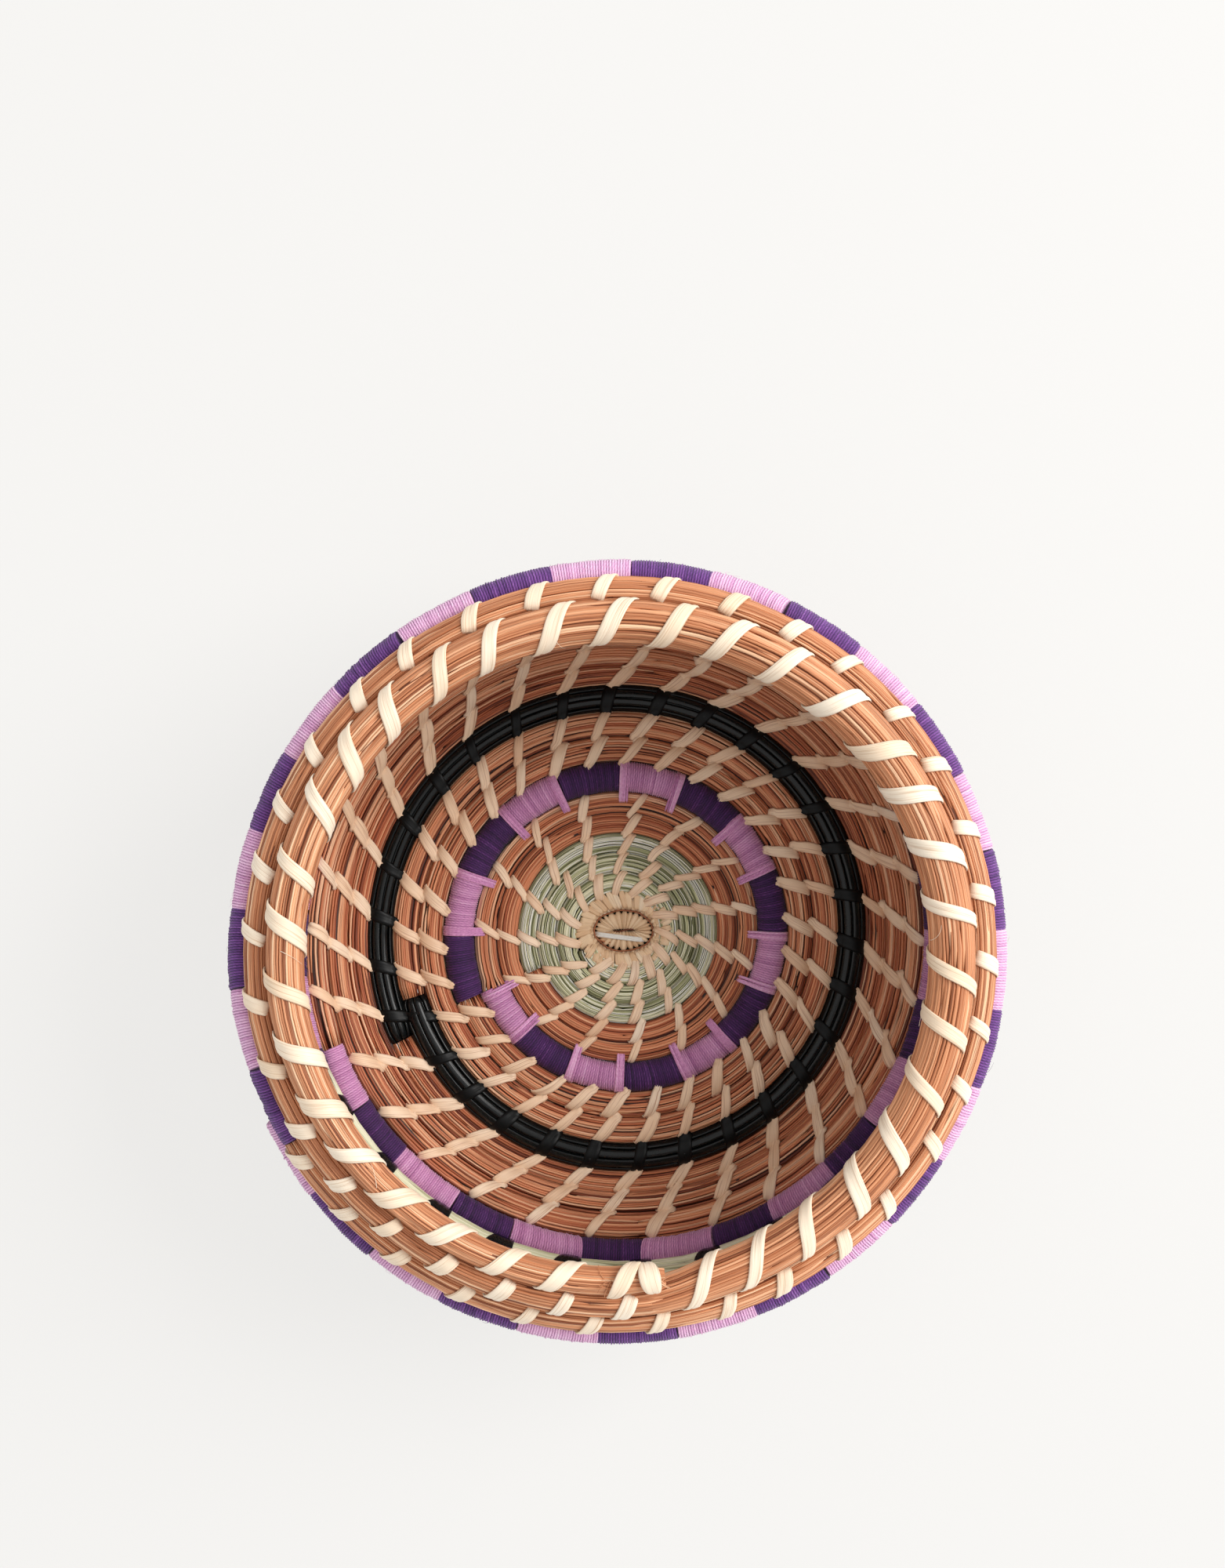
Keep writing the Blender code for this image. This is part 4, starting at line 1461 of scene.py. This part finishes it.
@dataclass(frozen=True)
class Studio:
    """Pale floor, soft light and the camera straight above."""

    camera_place: Tuple[float, float, float] = (0.0027, 0.0356, 0.488)
    camera_shift: Tuple[float, float] = (-0.0125, 0.01165)
    lens: float = 40.86
    sensor: float = 36.0
    floor_size: float = 6.0
    floor_colour: Colour = (240, 239, 237)
    floor_glow_share: float = 0.8
    sky_strength: float = 0.785
    key_power: float = 20.0
    key_size: float = 0.9
    key_place: Tuple[float, float, float] = (1.065, 0.43, 0.964)

    def _floor(self) -> None:
        """Lay the floor at the basket's lowest point."""
        mesh = bpy.data.meshes.new("studio_floor")
        half = self.floor_size / 2
        low = float(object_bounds()[0][2])
        corners = [(-half, -half, low), (half, -half, low), (half, half, low), (-half, half, low)]
        mesh.from_pydata(corners, [], [(0, 1, 2, 3)])
        mesh.materials.append(self._floor_finish())
        floor = bpy.data.objects.new("studio_floor", mesh)
        bpy.context.scene.collection.objects.link(floor)
        floor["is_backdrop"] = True

    def _floor_finish(self) -> bpy.types.Material:
        """A pale floor that looks near white, with half of its own shade kept for shadows."""
        board = Board("studio_floor")
        rays = [
            board.add("ShaderNodeLightPath", None, None, ray)
            for ray in ("Is Camera Ray", "Is Glossy Ray", "Is Transmission Ray")
        ]
        seen = rays[0] + rays[1] + rays[2]
        pale = linear(self.floor_colour)
        dimmed = tuple(channel * (1 - self.floor_glow_share) for channel in pale[:3]) + (1.0,)
        glow = tuple(channel * self.floor_glow_share * 1.02 for channel in pale[:3]) + (1.0,)
        return board.dress(
            Base_Color=board.mix(seen, pale, dimmed),
            Emission_Color=board.mix(seen, (0.0, 0.0, 0.0, 1.0), glow),
            Emission_Strength=1.0,
            Roughness=0.9,
            Specular_IOR_Level=0.1,
        )

    def _lights(self) -> None:
        """Hang the lamp and light the room evenly."""
        world = bpy.data.worlds.new("studio_room")
        world.use_nodes = True
        room = world.node_tree.nodes["Background"]
        room.inputs["Color"].default_value = (1.0, 0.99, 0.98, 1.0)
        room.inputs["Strength"].default_value = self.sky_strength
        bpy.context.scene.world = world
        lamp = bpy.data.lights.new("studio_softbox", "AREA")
        lamp.energy = self.key_power
        lamp.size = self.key_size
        lamp.color = (1.0, 0.98, 0.955)
        holder = bpy.data.objects.new("studio_softbox", lamp)
        place = np.array(self.key_place)
        holder.location = self.key_place
        away = -place / np.linalg.norm(place)
        holder.rotation_euler = (math.acos(-away[2]), 0.0, math.atan2(-away[0], away[1]))
        bpy.context.scene.collection.objects.link(holder)

    def build(self) -> None:
        """Set the stage."""
        self._floor()
        self._lights()
        camera = bpy.data.cameras.new("camera")
        camera.lens = self.lens
        camera.sensor_width = self.sensor
        camera.shift_x, camera.shift_y = self.camera_shift
        holder = bpy.data.objects.new("camera", camera)
        holder.location = self.camera_place
        bpy.context.scene.collection.objects.link(holder)
        bpy.context.scene.camera = holder
        bpy.context.scene.view_settings.view_transform = "Standard"


def stem_rows() -> List[StemRow]:
    """The rows of needles and grass, from the centre outward."""
    fine = tuple(map(tuple, FINE_SHAPE))
    needles, inner, brown = Finishes.NEEDLES, Finishes.SHADED_INSIDE_NEEDLES, "brown_needles"
    rows = [
        StemRow(
            "green_grass_rows", ("green_grass_coil",), 0.0, 3.0, Finishes.GREEN, "green_grass",
            26, 8, 80, 0.3 * MM, fine, 0.12, 0.05, 0.55, 0.3, 0.5, 12 * MM, fill=1.05, seed=101,
        ),
        StemRow(
            "centre_needle_rows", ("centre_needle_coil",), 3.0, 5.0, inner, brown,
            11, 7, 90, 0.45 * MM, tone_spread=0.24, seed=102,
        ),
        StemRow(
            "floor_needle_rows", ("floor_needle_coil",), 6.0, 7.983, inner, brown,
            14, 8, 110, 0.5 * MM, tone_spread=0.24, seed=103,
        ),
        StemRow(
            "wall_needle_rows", tuple(f"wall_needle_coil_{n}" for n in (1, 2, 3)), 9.008, 11.994,
            inner, brown, 13, 12, 100, 0.5 * MM, tone_spread=0.24, seed=104,
        ),
        StemRow(
            "pale_grass_rows", tuple(f"pale_grass_coil_{n}" for n in range(1, 7)), 13.0, 19.006,
            Finishes.PALE, "pale_grass", 10, 14, 60, 0.45 * MM, fine, seed=105,
        ),
        StemRow(
            "shoulder_needle_rows", ("shoulder_needle_coil",), 20.0186, COIL.rim_start, needles, brown,
            8, 22, 110, 0.5 * MM, fill=1.16, core_share=0.9, core_painted_shade_tone=0.14, seed=106,
        ),
    ]
    return rows


@dataclass(frozen=True)
class RimRow(StemRow):
    """The last row: its needles lie all round, apart from where it is seated."""

    def _arcs(self, turns: Array) -> List[Tuple[Array, Array, int]]:
        """One arc, from one side of the seat over the top to the other."""
        into, _ = COIL.leans_of(turns)
        start = into + math.pi - self.edge_clear
        return [(start, start - math.tau + 2 * self.edge_clear, self.inside)]


def main() -> None:
    """Build the basket and its stage, and report each piece."""
    logging.basicConfig(level=logging.INFO, format="%(message)s")
    Medallion().build()
    for row in stem_rows():
        row.build()
    RimRow(
        "rim_needle_row", ("rim_needle_coil",), COIL.rim_start - COIL.rim_join, COIL.end,
        Finishes.NEEDLES, "brown_needles", 46, 0, 110, 0.5 * MM, fill=1.2, core_share=0.9, core_painted_shade_tone=0.14, seed=107,
    ).build()
    ShadedCrevicePacking().build()
    WoundRow("floor_wound_row", "floor_wrapped_coil", 5.0, 6.0, 16, tabs=True, seed=51).build()
    WoundRow(
        "lower_wound_row", "lower_wrapped_coil", 11.994, 13.0, 29.2, phase=-0.0037, first_colour_share=0.536, seed=52
    ).build()
    faded = (Finishes.FADED_LILAC, Finishes.FADED_PURPLE)
    WoundRow("upper_wound_row", "upper_wrapped_coil", 19.008, 20.0186, 30, finishes=faded, seed=53).build()
    StripRow().build()
    MarkRow().build()
    StitchRun("raffia_centre_stitches", CENTRE_CHAINS, 2.45 * MM, 0.35 * MM, finish=Finishes.BOUNCE_LIT_INSIDE_RAFFIA, seed=61).build()
    StitchRun("raffia_floor_stitches", FLOOR_CHAINS, 3.1 * MM, 0.4 * MM, finish=Finishes.BOUNCE_LIT_INSIDE_RAFFIA, seed=62).build()
    StitchRun("raffia_wall_stitches", WALL_CHAINS, 3.3 * MM, 0.4 * MM, finish=Finishes.BOUNCE_LIT_INSIDE_RAFFIA, seed=63).build()
    StitchRun(
        "black_ties", BLACK_TIES, 3.6 * MM, 0.5 * MM, finish=Finishes.TIE, slot="black_strips", seed=64
    ).build()
    ShoulderStitches().build()
    RimBinding().build()
    Fluff().build()
    Studio().build()


if __name__ == "__main__":
    main()
